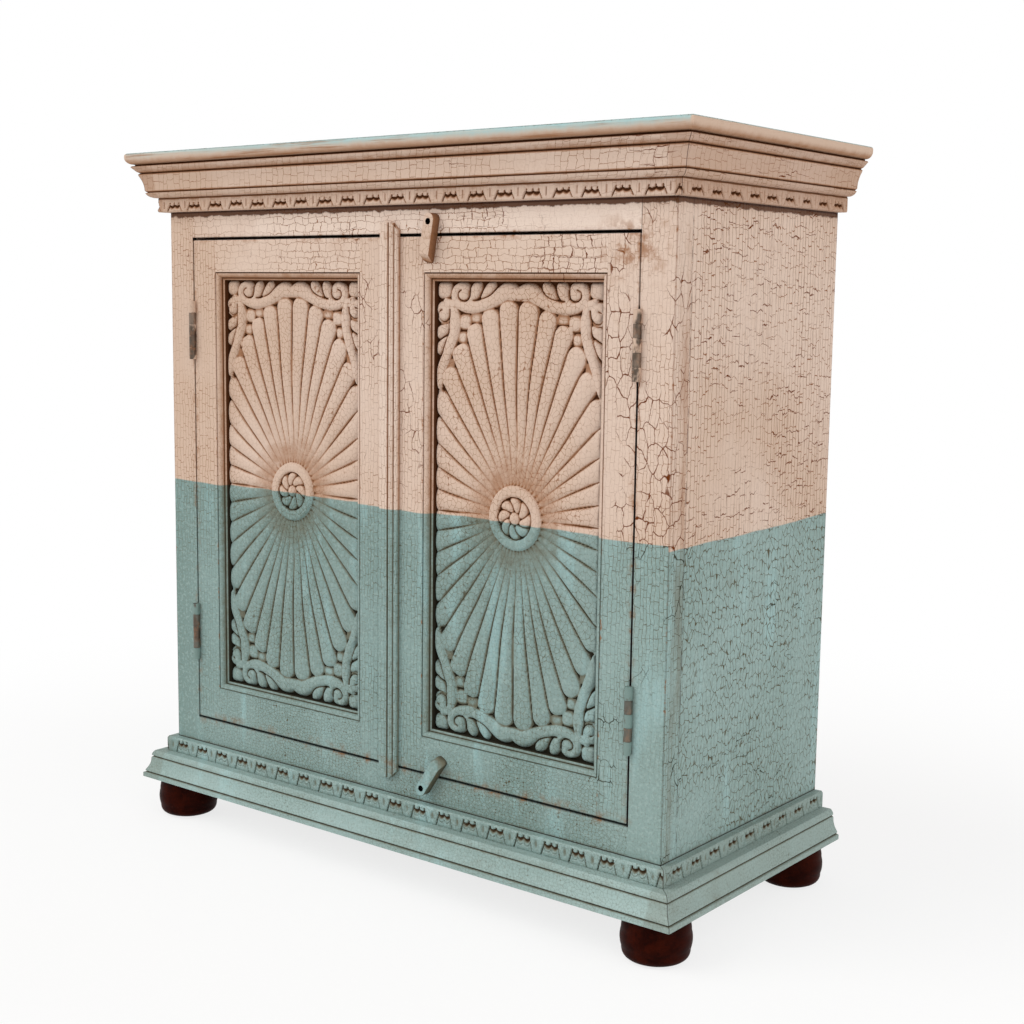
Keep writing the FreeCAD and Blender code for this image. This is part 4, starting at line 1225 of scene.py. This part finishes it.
class CABINET_OT_case(CabinetStep, bpy.types.Operator):
    """Posts, rails and boards of the case, with worn arrises"""

    bl_idname = "cabinet.case"
    bl_label = "Case boards"

    # Slot of each board, and the sides where it meets its neighbours
    boards = {
        "front_post_right": ("paint_post", ("-x", "+y", "-z", "+z")),
        "front_post_left": ("paint_post", ("+x", "+y", "-z", "+z")),
        "side_board_right": ("paint_side", ("-y", "-z", "+z")),
        "side_board_left": ("paint_side", ("-y", "-z", "+z")),
        "top_rail": ("paint_rail", ("-x", "+x", "+z")),
        "bottom_rail": ("paint_rail", ("-x", "+x", "-z")),
        "plinth_back": ("paint_plinth", ("-x", "+x")),
        "back_board_1": ("bare_wood", ()),
        "back_board_2": ("bare_wood", ()),
        "back_board_3": ("bare_wood", ()),
    }

    def build(self):
        """Place one board for each solid."""
        for node, (slot, joints) in self.boards.items():
            set_board(node, "case", slot, joints)


class CABINET_OT_inside(CabinetStep, bpy.types.Operator):
    """Shelf, floor, cleats and posts inside, as bare wood"""

    bl_idname = "cabinet.inside"
    bl_label = "Inside boards"

    def build(self):
        """Dress the solids that show only with the doors open."""
        for node in ("shelf", "floor_board"):
            dress_node(node, "bare_wood_level")
        for name in ("floor_cleat", "shelf_cleat", "back_post"):
            for side in ("right", "left"):
                dress_node(name + "_" + side, "bare_wood")


class CABINET_OT_top(CabinetStep, bpy.types.Operator):
    """Top board with its rounded nose"""

    bl_idname = "cabinet.top"
    bl_label = "Top board"

    round_below = 8.4 * MM
    round_above = 3.5 * MM

    def build(self):
        """Round a board's front and side edges."""
        low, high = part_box("top_board")
        form = new_form()
        edge, hollow = marks(form)
        block(form, low, high)
        for level, radius in ((low.z, self.round_below), (high.z, self.round_above)):
            flat = [e for e in form.edges if all(abs(v.co.z - level) < 1e-6 for v in e.verts)]
            nose = [e for e in flat if any(v.co.y < high.y - 1e-6 for v in e.verts)]
            bmesh.ops.bevel(form, geom=nose, offset=radius, segments=6, profile=0.5, affect="EDGES", material=-1)
        for vert in form.verts:
            vert[edge] = 0.5 if vert.co.z > high.z - 4 * MM else 0.1
            # Painted shade under the nose: a hollow of 1 along the underside, less a little way up
            vert[hollow] = 1.0 if vert.co.z < low.z + 2.5 * MM else 0.3 if vert.co.z < low.z + 6 * MM else 0.0
        set_piece("nosed_top_board", form, "case", "paint_top", ["top_board"])


class CABINET_OT_mouldings(CabinetStep, bpy.types.Operator):
    """Cornice and plinth round the case"""

    bl_idname = "cabinet.mouldings"
    bl_label = "Cornice and plinth"

    def build(self):
        """Run each section along the front and both sides."""
        for side in OUTWARD:
            set_piece("run_cornice_" + side, case_run(CORNICE, CORNICE_Z, side), "case", "paint_cornice",
                      ["cornice_" + side])
            set_piece("run_plinth_" + side, case_run(PLINTH, PLINTH_Z, side), "case", "paint_plinth",
                      ["plinth_" + side])


class CABINET_OT_strips(CabinetStep, bpy.types.Operator):
    """Carved strips under the cornice and above the plinth"""

    bl_idname = "cabinet.strips"
    bl_label = "Carved strips"

    def build(self):
        """Carve each strip along the front and both sides."""
        for side in OUTWARD:
            # The upper strip's head takes painted shade under the cornice
            upper = carved_strip(side, FRIEZE_Z, FRIEZE_TALL, FRIEZE_OUT, frieze_cut, 0.85)
            set_piece("carved_frieze_" + side, upper, "case", "paint_frieze", ["frieze_" + side])
            lower = carved_strip(side, TRIM_Z, TRIM_TALL, TRIM_OUT, trim_cut, 0.1)
            set_piece("carved_trim_" + side, lower, "case", "paint_base", ["base_trim_" + side])


class CABINET_OT_doors(CabinetStep, bpy.types.Operator):
    """Stiles and rails of both doors"""

    bl_idname = "cabinet.doors"
    bl_label = "Door frames"

    # Slot of each board, and the sides where it meets its neighbours
    parts = {"hinge_stile": "paint_stile", "meeting_stile": "paint_stile", "top_rail": "paint_rail",
             "bottom_rail": "paint_rail"}
    joints = {"top_rail": ("-x", "+x", "-z"), "bottom_rail": ("-x", "+x", "+z"),
              "left_door_hinge_stile": ("+x",), "left_door_meeting_stile": ("-x",),
              "right_door_hinge_stile": ("-x",), "right_door_meeting_stile": ("+x",)}

    def build(self):
        """Place one board for each solid of the frames."""
        for door in ("left_door", "right_door"):
            for part, slot in self.parts.items():
                node = door + "_" + part
                set_board(node, door, slot, self.joints.get(part) or self.joints[node])


class CABINET_OT_beads(CabinetStep, bpy.types.Operator):
    """Moulding inside the door frames"""

    bl_idname = "cabinet.beads"
    bl_label = "Panel beads"

    # Section as add_run takes it, from the frame inwards and back
    # Its hollows take glaze, with painted shade in the grooves and down the inner wall beside the carving
    section = [
        (0, 16.0, 0, 0, 0, 0),
        (0, 1.8, 0, 0, 0, 0.7),
        (1.4, 1.8, 0, 0, 0, 0.7),
        (1.6, 0.4, 0.9, -0.8, 0.3, 0.1),
        (6.6, 4.4, 0, 0, 0, 0.35),
        (6.9, 6.8, 0, 0, 0, 1.0),
        (7.8, 6.6, 0, 0, 0, 0.5),
        (9.6, 7.4, 0, 0, 0.3, 0.2),
        (10.0, 8.2, 0, 0, 0, 0.9),
        (10.0, 16.0, 0, 0, 0, 1.0),
    ]
    # More painted shade, with dirt, on the lengths below, right, above and left: most on the one above, which faces
    # down
    shadows = (0.0, 0.05, 0.3, 0.12)

    def build(self):
        """Mitre four lengths for each door."""
        for door in ("left_door", "right_door"):
            low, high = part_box(door + "_bead")
            corners = [Vector((low.x, FRONT_Y, low.z)), Vector((high.x, FRONT_Y, low.z)),
                       Vector((high.x, FRONT_Y, high.z)), Vector((low.x, FRONT_Y, high.z))]
            runs = []
            for number, start in enumerate(corners):
                end = corners[(number + 1) % 4]
                along = (end - start).normalized()
                inward = along.cross(Y)
                form = new_form()
                add_run(form, self.section, start, inward, Y, end - start)
                _, hollow = marks(form)
                for vert in form.verts:
                    vert[hollow] = min(1.0, vert[hollow] + self.shadows[number])
                trim_off(form, start, -(along - inward).normalized())
                trim_off(form, end, (along + inward).normalized())
                outward(form)
                runs.append(form)
            set_piece("moulded_" + door + "_bead", joined(runs), door, "paint_bead", [door + "_bead"])


class CABINET_OT_panels(CabinetStep, bpy.types.Operator):
    """Carved panels of both doors"""

    bl_idname = "cabinet.panels"
    bl_label = "Carved panels"

    def build(self):
        """Carve one panel for each door."""
        for door, hand in (("left_door", -1), ("right_door", 1)):
            set_piece("carved_" + door + "_panel", carved_panel(hand), door, "paint_carving", [door + "_panel"],
                      crease=60.0)


class CABINET_OT_cover_strip(CabinetStep, bpy.types.Operator):
    """Moulded strip over the gap between the doors"""

    bl_idname = "cabinet.cover_strip"
    bl_label = "Cover strip"

    # Section as add_run takes it, from left to right and forwards
    section = [
        (0, 0, 0, 0, 0, 0.6),
        (0, 6.8, 0, 0, 0.3, 0),
        (1.2, 8.0, 0, 0, 0.4, 0),
        (11.6, 8.0, 0, 0, 0.2, 0.1),
        (12.4, 7.8, 0, 0, 0, 0.4),
        (13.4, 5.6, 0, 0, 0, 1.0),
        (14.6, 7.2, 0, 0.8, 0.2, 0.25),
        (20.0, 7.0, 0, 0, 0.2, 0.25),
        (21.2, 4.7, 0, 0, 0, 1.0),
        (22.4, 6.4, 0, 0, 0.2, 0.3),
        (25.0, 5.8, 0, 0, 0.3, 0),
        (26.0, 4.8, 0, 0, 0.3, 0.2),
        (26.0, 0, 0, 0, 0, 0.8),
    ]

    corner = 9 * MM

    def build(self):
        """Run the section up the doors and cut two corners off."""
        low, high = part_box("right_door_cover_strip")
        form = new_form()
        add_run(form, self.section, Vector((low.x, FRONT_Y, low.z)), X, -Y, Z * (high.z - low.z))
        for end, up in ((low.z, -1), (high.z, 1)):
            trim_off(form, Vector((high.x - self.corner, FRONT_Y, end)), Vector((1, 0, up)).normalized())
        outward(form)
        set_piece("moulded_cover_strip", form, "right_door", "paint_stile", ["right_door_cover_strip"], "paint_strip")


class CABINET_OT_latches(CabinetStep, bpy.types.Operator):
    """Turn latches with a sunk screw"""

    bl_idname = "cabinet.latches"
    bl_label = "Latches"

    half = 7 * MM
    thick = 12 * MM
    tip = 47 * MM
    tail = 9.5 * MM
    slope = 10 * MM
    recess = 3.7 * MM
    recess_deep = 4 * MM
    shoulder = 1 * MM
    clear = 0.25 * MM
    # Where the screw sits across and up, and the turn of the bar in degrees
    places = {"top_latch": (66 * MM, 786 * MM, 190), "bottom_latch": (60 * MM, 126.5 * MM, 34)}

    def build(self):
        """Shape each latch flat, then turn it about its screw."""
        for node, (x, z, turn) in self.places.items():
            form = self.bar()
            turned = Matrix.Translation((x, FRONT_Y, z)) @ Matrix.Rotation(math.radians(turn), 4, "Y")
            bmesh.ops.transform(form, matrix=turned, verts=form.verts)
            outward(form)
            set_piece("turned_" + node, form, node, "paint_latch", [node])

    def bar(self):
        """Bar along +Z about the screw, with its back just clear of the XZ plane."""
        form = new_form()
        edge, hollow = marks(form)
        front = Matrix.Translation((0, -self.thick, 0)) @ Matrix.Rotation(math.pi / 2, 4, "X")
        rings = []
        for radius in (self.half, self.recess + 0.8 * MM, self.recess):
            ring = bmesh.ops.create_circle(form, segments=40, radius=radius, matrix=front)["verts"]
            rings.append((ring, [line for line in form.edges if line.verts[0] in ring]))
        (outer, rim), (_, lip), (inner, seat) = rings
        for vert in outer:
            if vert.co.z > 1e-6:
                vert.co.z = self.tip - self.half / 2 + vert.co.z / 2
            else:
                vert.co.z -= self.tail - self.half
            vert[edge], vert[hollow] = 0.4, 0.15
        for vert in inner:
            vert[hollow] = 1.0
        bmesh.ops.bridge_loops(form, edges=rim + lip)
        bmesh.ops.bridge_loops(form, edges=lip + seat)
        # Painted shade in the screw's recess, by a hollow of 1; the sides of the bar go browner and darker towards
        # the back
        self.close(form, self.push_back(form, seat, self.recess_deep, 1.0))
        shoulder = self.push_back(form, rim, self.shoulder, 0.75)
        self.close(form, self.push_back(form, shoulder, self.thick - self.shoulder - self.clear, 0.85))
        outward(form)
        bmesh.ops.bevel(form, geom=rim, offset=0.4 * MM, segments=2, profile=0.5, affect="EDGES", material=-1)
        trim_off(form, Vector((0, 0, self.tip)), Vector((0, -self.slope, self.thick)).normalized())
        return form

    def push_back(self, form, lines, distance, dirt):
        """Draw a ring of edges back, and give the new ring."""
        edge, hollow = marks(form)
        made = bmesh.ops.extrude_edge_only(form, edges=lines)["geom"]
        verts = made_points(made)
        bmesh.ops.translate(form, vec=Y * distance, verts=verts)
        for vert in verts:
            vert[edge], vert[hollow] = 0.0, dirt
        return [line for line in made_lines(made) if line.is_boundary]

    def close(self, form, ring):
        """Fill a ring of edges."""
        bmesh.ops.contextual_create(form, geom=ring)


class CABINET_OT_fittings(CabinetStep, bpy.types.Operator):
    """Hinges and screws, as old steel with paint on it"""

    bl_idname = "cabinet.fittings"
    bl_label = "Hinges and screws"

    def build(self):
        """Dress the metal solids."""
        for node in ("case_hinge_leaves", "hinge_pins"):
            dress_node(node, "hinge_steel")
        for node in ("left_door_hinge_leaves", "right_door_hinge_leaves"):
            dress_node(node, "hinge_bare")
        for node in ("case_hinge_screws", "left_door_hinge_screws", "right_door_hinge_screws", "latch_screws"):
            dress_node(node, "screw_steel")


class CABINET_OT_feet(CabinetStep, bpy.types.Operator):
    """Turned bun feet"""

    bl_idname = "cabinet.feet"
    bl_label = "Feet"

    # Radius and height of the turned shape, with the bow of the line to the next point
    shape = [(0, 0, 0, 0), (26.5, 0, 0, 0), (28.0, 0.8, 2.6, -2.2), (37.6, 13.0, 1.6, 0), (38.2, 33.0, 0.6, 0.6),
             (36.0, 44.0, 0, 0), (35.0, 50.0, 0, 0), (0, 50.0, 0, 0)]

    def build(self):
        """Turn one foot for each solid."""
        for row in ("front", "back"):
            for side in ("right", "left"):
                node = "foot_%s_%s" % (row, side)
                low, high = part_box(node)
                centre = Vector(((low.x + high.x) / 2, (low.y + high.y) / 2, 0))
                set_piece("turned_" + node, self.bun(centre), "case", "foot_wood", [node], crease=50.0)

    def bun(self, centre):
        """Spin the half section about the upright through its centre."""
        form = new_form()
        verts = [form.verts.new(centre + X * (r * MM) + Z * (z * MM)) for r, z, _, _ in self.shape]
        lines = [form.edges.new((a, b)) for a, b in zip(verts, verts[1:])]
        for line, (_, _, bow_r, bow_z) in zip(lines, self.shape):
            if bow_r or bow_z:
                bow_line(form, line, (X * bow_r + Z * bow_z) * MM, 6)
        bmesh.ops.spin(form, geom=form.verts[:] + form.edges[:], cent=centre, axis=Z, angle=2 * math.pi, steps=64,
                       use_merge=True)
        bmesh.ops.remove_doubles(form, verts=form.verts, dist=1e-6)
        outward(form)
        return form


class CABINET_OT_stage(CabinetStep, bpy.types.Operator):
    """Pale floor, soft light and the camera"""

    bl_idname = "cabinet.stage"
    bl_label = "Stage"

    # Where each lamp points and how broad it looks, in degrees, and its tint
    key = ((50, 0, -42), 45, (1.0, 0.985, 0.96))
    fill = ((62, 0, 74), 70, (1.0, 0.98, 0.95))
    floor_half = 30
    fade = (0.55, 1.5)

    def build(self):
        """Set the floor, the lamps, the world and the camera."""
        scene = bpy.context.scene
        stage = scene.cabinet_stage
        scene.view_settings.view_transform = "Standard"
        self.floor(stage)
        self.lamp("key_light", stage.key, *self.key)
        self.lamp("fill_light", stage.fill, *self.fill)
        self.sky(scene, stage)
        camera = bpy.data.objects.new("camera", bpy.data.cameras.new("camera"))
        scene.collection.objects.link(camera)
        camera.data.lens = stage.lens
        camera.data.sensor_width = 36
        camera.data.clip_start = 0.01
        camera.location = stage.place
        camera.rotation_euler = Euler(stage.turn)
        scene.camera = camera

    def lamp(self, name, strength, turn, spread, tint):
        """Soft lamp far away."""
        light = bpy.data.lights.new(name, "SUN")
        light.energy = strength
        light.angle = math.radians(spread)
        light.color = tint
        lamp = bpy.data.objects.new(name, light)
        lamp.rotation_euler = [math.radians(a) for a in turn]
        bpy.context.scene.collection.objects.link(lamp)

    def seen_directly(self, tree):
        """1 for what the camera, a reflection or glass sees."""
        path = tree.nodes.new("ShaderNodeLightPath")
        total = path.outputs["Is Camera Ray"]
        for name in ("Is Glossy Ray", "Is Transmission Ray"):
            either = tree.nodes.new("ShaderNodeMath")
            either.operation = "MAXIMUM"
            tree.links.new(total, either.inputs[0])
            tree.links.new(path.outputs[name], either.inputs[1])
            total = either.outputs[0]
        return total

    def sky(self, scene, stage):
        """White where it is seen, soft light elsewhere."""
        world = bpy.data.worlds.new("studio")
        scene.world = world
        world.use_nodes = True
        tree = world.node_tree
        plain = tree.nodes["Background"]
        plain.inputs["Color"].default_value = (1, 1, 1, 1)
        plain.inputs["Strength"].default_value = stage.sky
        white = tree.nodes.new("ShaderNodeBackground")
        white.inputs["Strength"].default_value = 1.0
        white.inputs["Color"].default_value = (1, 1, 1, 1)
        either = tree.nodes.new("ShaderNodeMixShader")
        tree.links.new(self.seen_directly(tree), either.inputs[0])
        tree.links.new(plain.outputs[0], either.inputs[1])
        tree.links.new(white.outputs[0], either.inputs[2])
        tree.links.new(either.outputs[0], tree.nodes["World Output"].inputs["Surface"])

    def floor(self, stage):
        """Wide pale floor that keeps the shadow and fades to white farther off."""
        form = bmesh.new()
        bmesh.ops.create_grid(form, x_segments=8, y_segments=8, size=self.floor_half)
        mesh = bpy.data.meshes.new("floor")
        form.to_mesh(mesh)
        form.free()
        f = Finish("studio_floor")
        f.shader.inputs["Roughness"].default_value = 0.9
        f.shader.inputs["Specular IOR Level"].default_value = 0.0
        away = f.add("ShaderNodeVectorMath", {0: f.place}, operation="LENGTH").outputs["Value"]
        tint = f.mix(f.noise(f.place, 2.0), stage.floor, (1, 1, 1))
        f.feed(f.shader.inputs["Base Color"], tint)
        white = f.plus(f.times(f.step(away, *self.fade), 1 - stage.floor_glow), stage.floor_glow)
        seen = f.times(self.seen_directly(f.tree), white)
        glow = f.add("ShaderNodeEmission").outputs[0]
        lit = f.add("ShaderNodeMixShader", {0: seen, 1: f.shader.outputs[0], 2: glow}).outputs[0]
        f.feed(f.tree.nodes["Material Output"].inputs["Surface"], lit)
        mesh.materials.append(f.material)
        floor = bpy.data.objects.new("floor", mesh)
        bpy.context.scene.collection.objects.link(floor)


STEPS = [CABINET_OT_stage, CABINET_OT_case, CABINET_OT_inside, CABINET_OT_top, CABINET_OT_mouldings,
         CABINET_OT_strips, CABINET_OT_doors, CABINET_OT_beads, CABINET_OT_panels, CABINET_OT_cover_strip,
         CABINET_OT_latches, CABINET_OT_fittings, CABINET_OT_feet]


class CABINET_PT_panel(bpy.types.Panel):
    """Sidebar panel with the cabinet's settings and steps"""

    bl_label = "Carved cabinet"
    bl_idname = "CABINET_PT_panel"
    bl_space_type = "VIEW_3D"
    bl_region_type = "UI"
    bl_category = "Cabinet"

    def draw(self, context):
        """List the settings, then the steps in order."""
        for name, group in SETTINGS.items():
            box = self.layout.box()
            box.label(text=group.__doc__)
            for prop in group.__annotations__:
                box.prop(getattr(context.scene, name), prop)
        for step in STEPS:
            self.layout.operator(step.bl_idname)


CLASSES = [*SETTINGS.values(), *STEPS, CABINET_PT_panel]


def register():
    """Make the settings, steps and panel known."""
    for cls in CLASSES:
        bpy.utils.register_class(cls)
    for name, group in SETTINGS.items():
        setattr(bpy.types.Scene, name, bpy.props.PointerProperty(type=group))


def unregister():
    """Take them away again."""
    for name in SETTINGS:
        delattr(bpy.types.Scene, name)
    for cls in reversed(CLASSES):
        bpy.utils.unregister_class(cls)


def main():
    """Build the whole cabinet."""
    register()
    for step in STEPS:
        group, name = step.bl_idname.split(".")
        getattr(getattr(bpy.ops, group), name)()


if __name__ == "__main__":
    main()
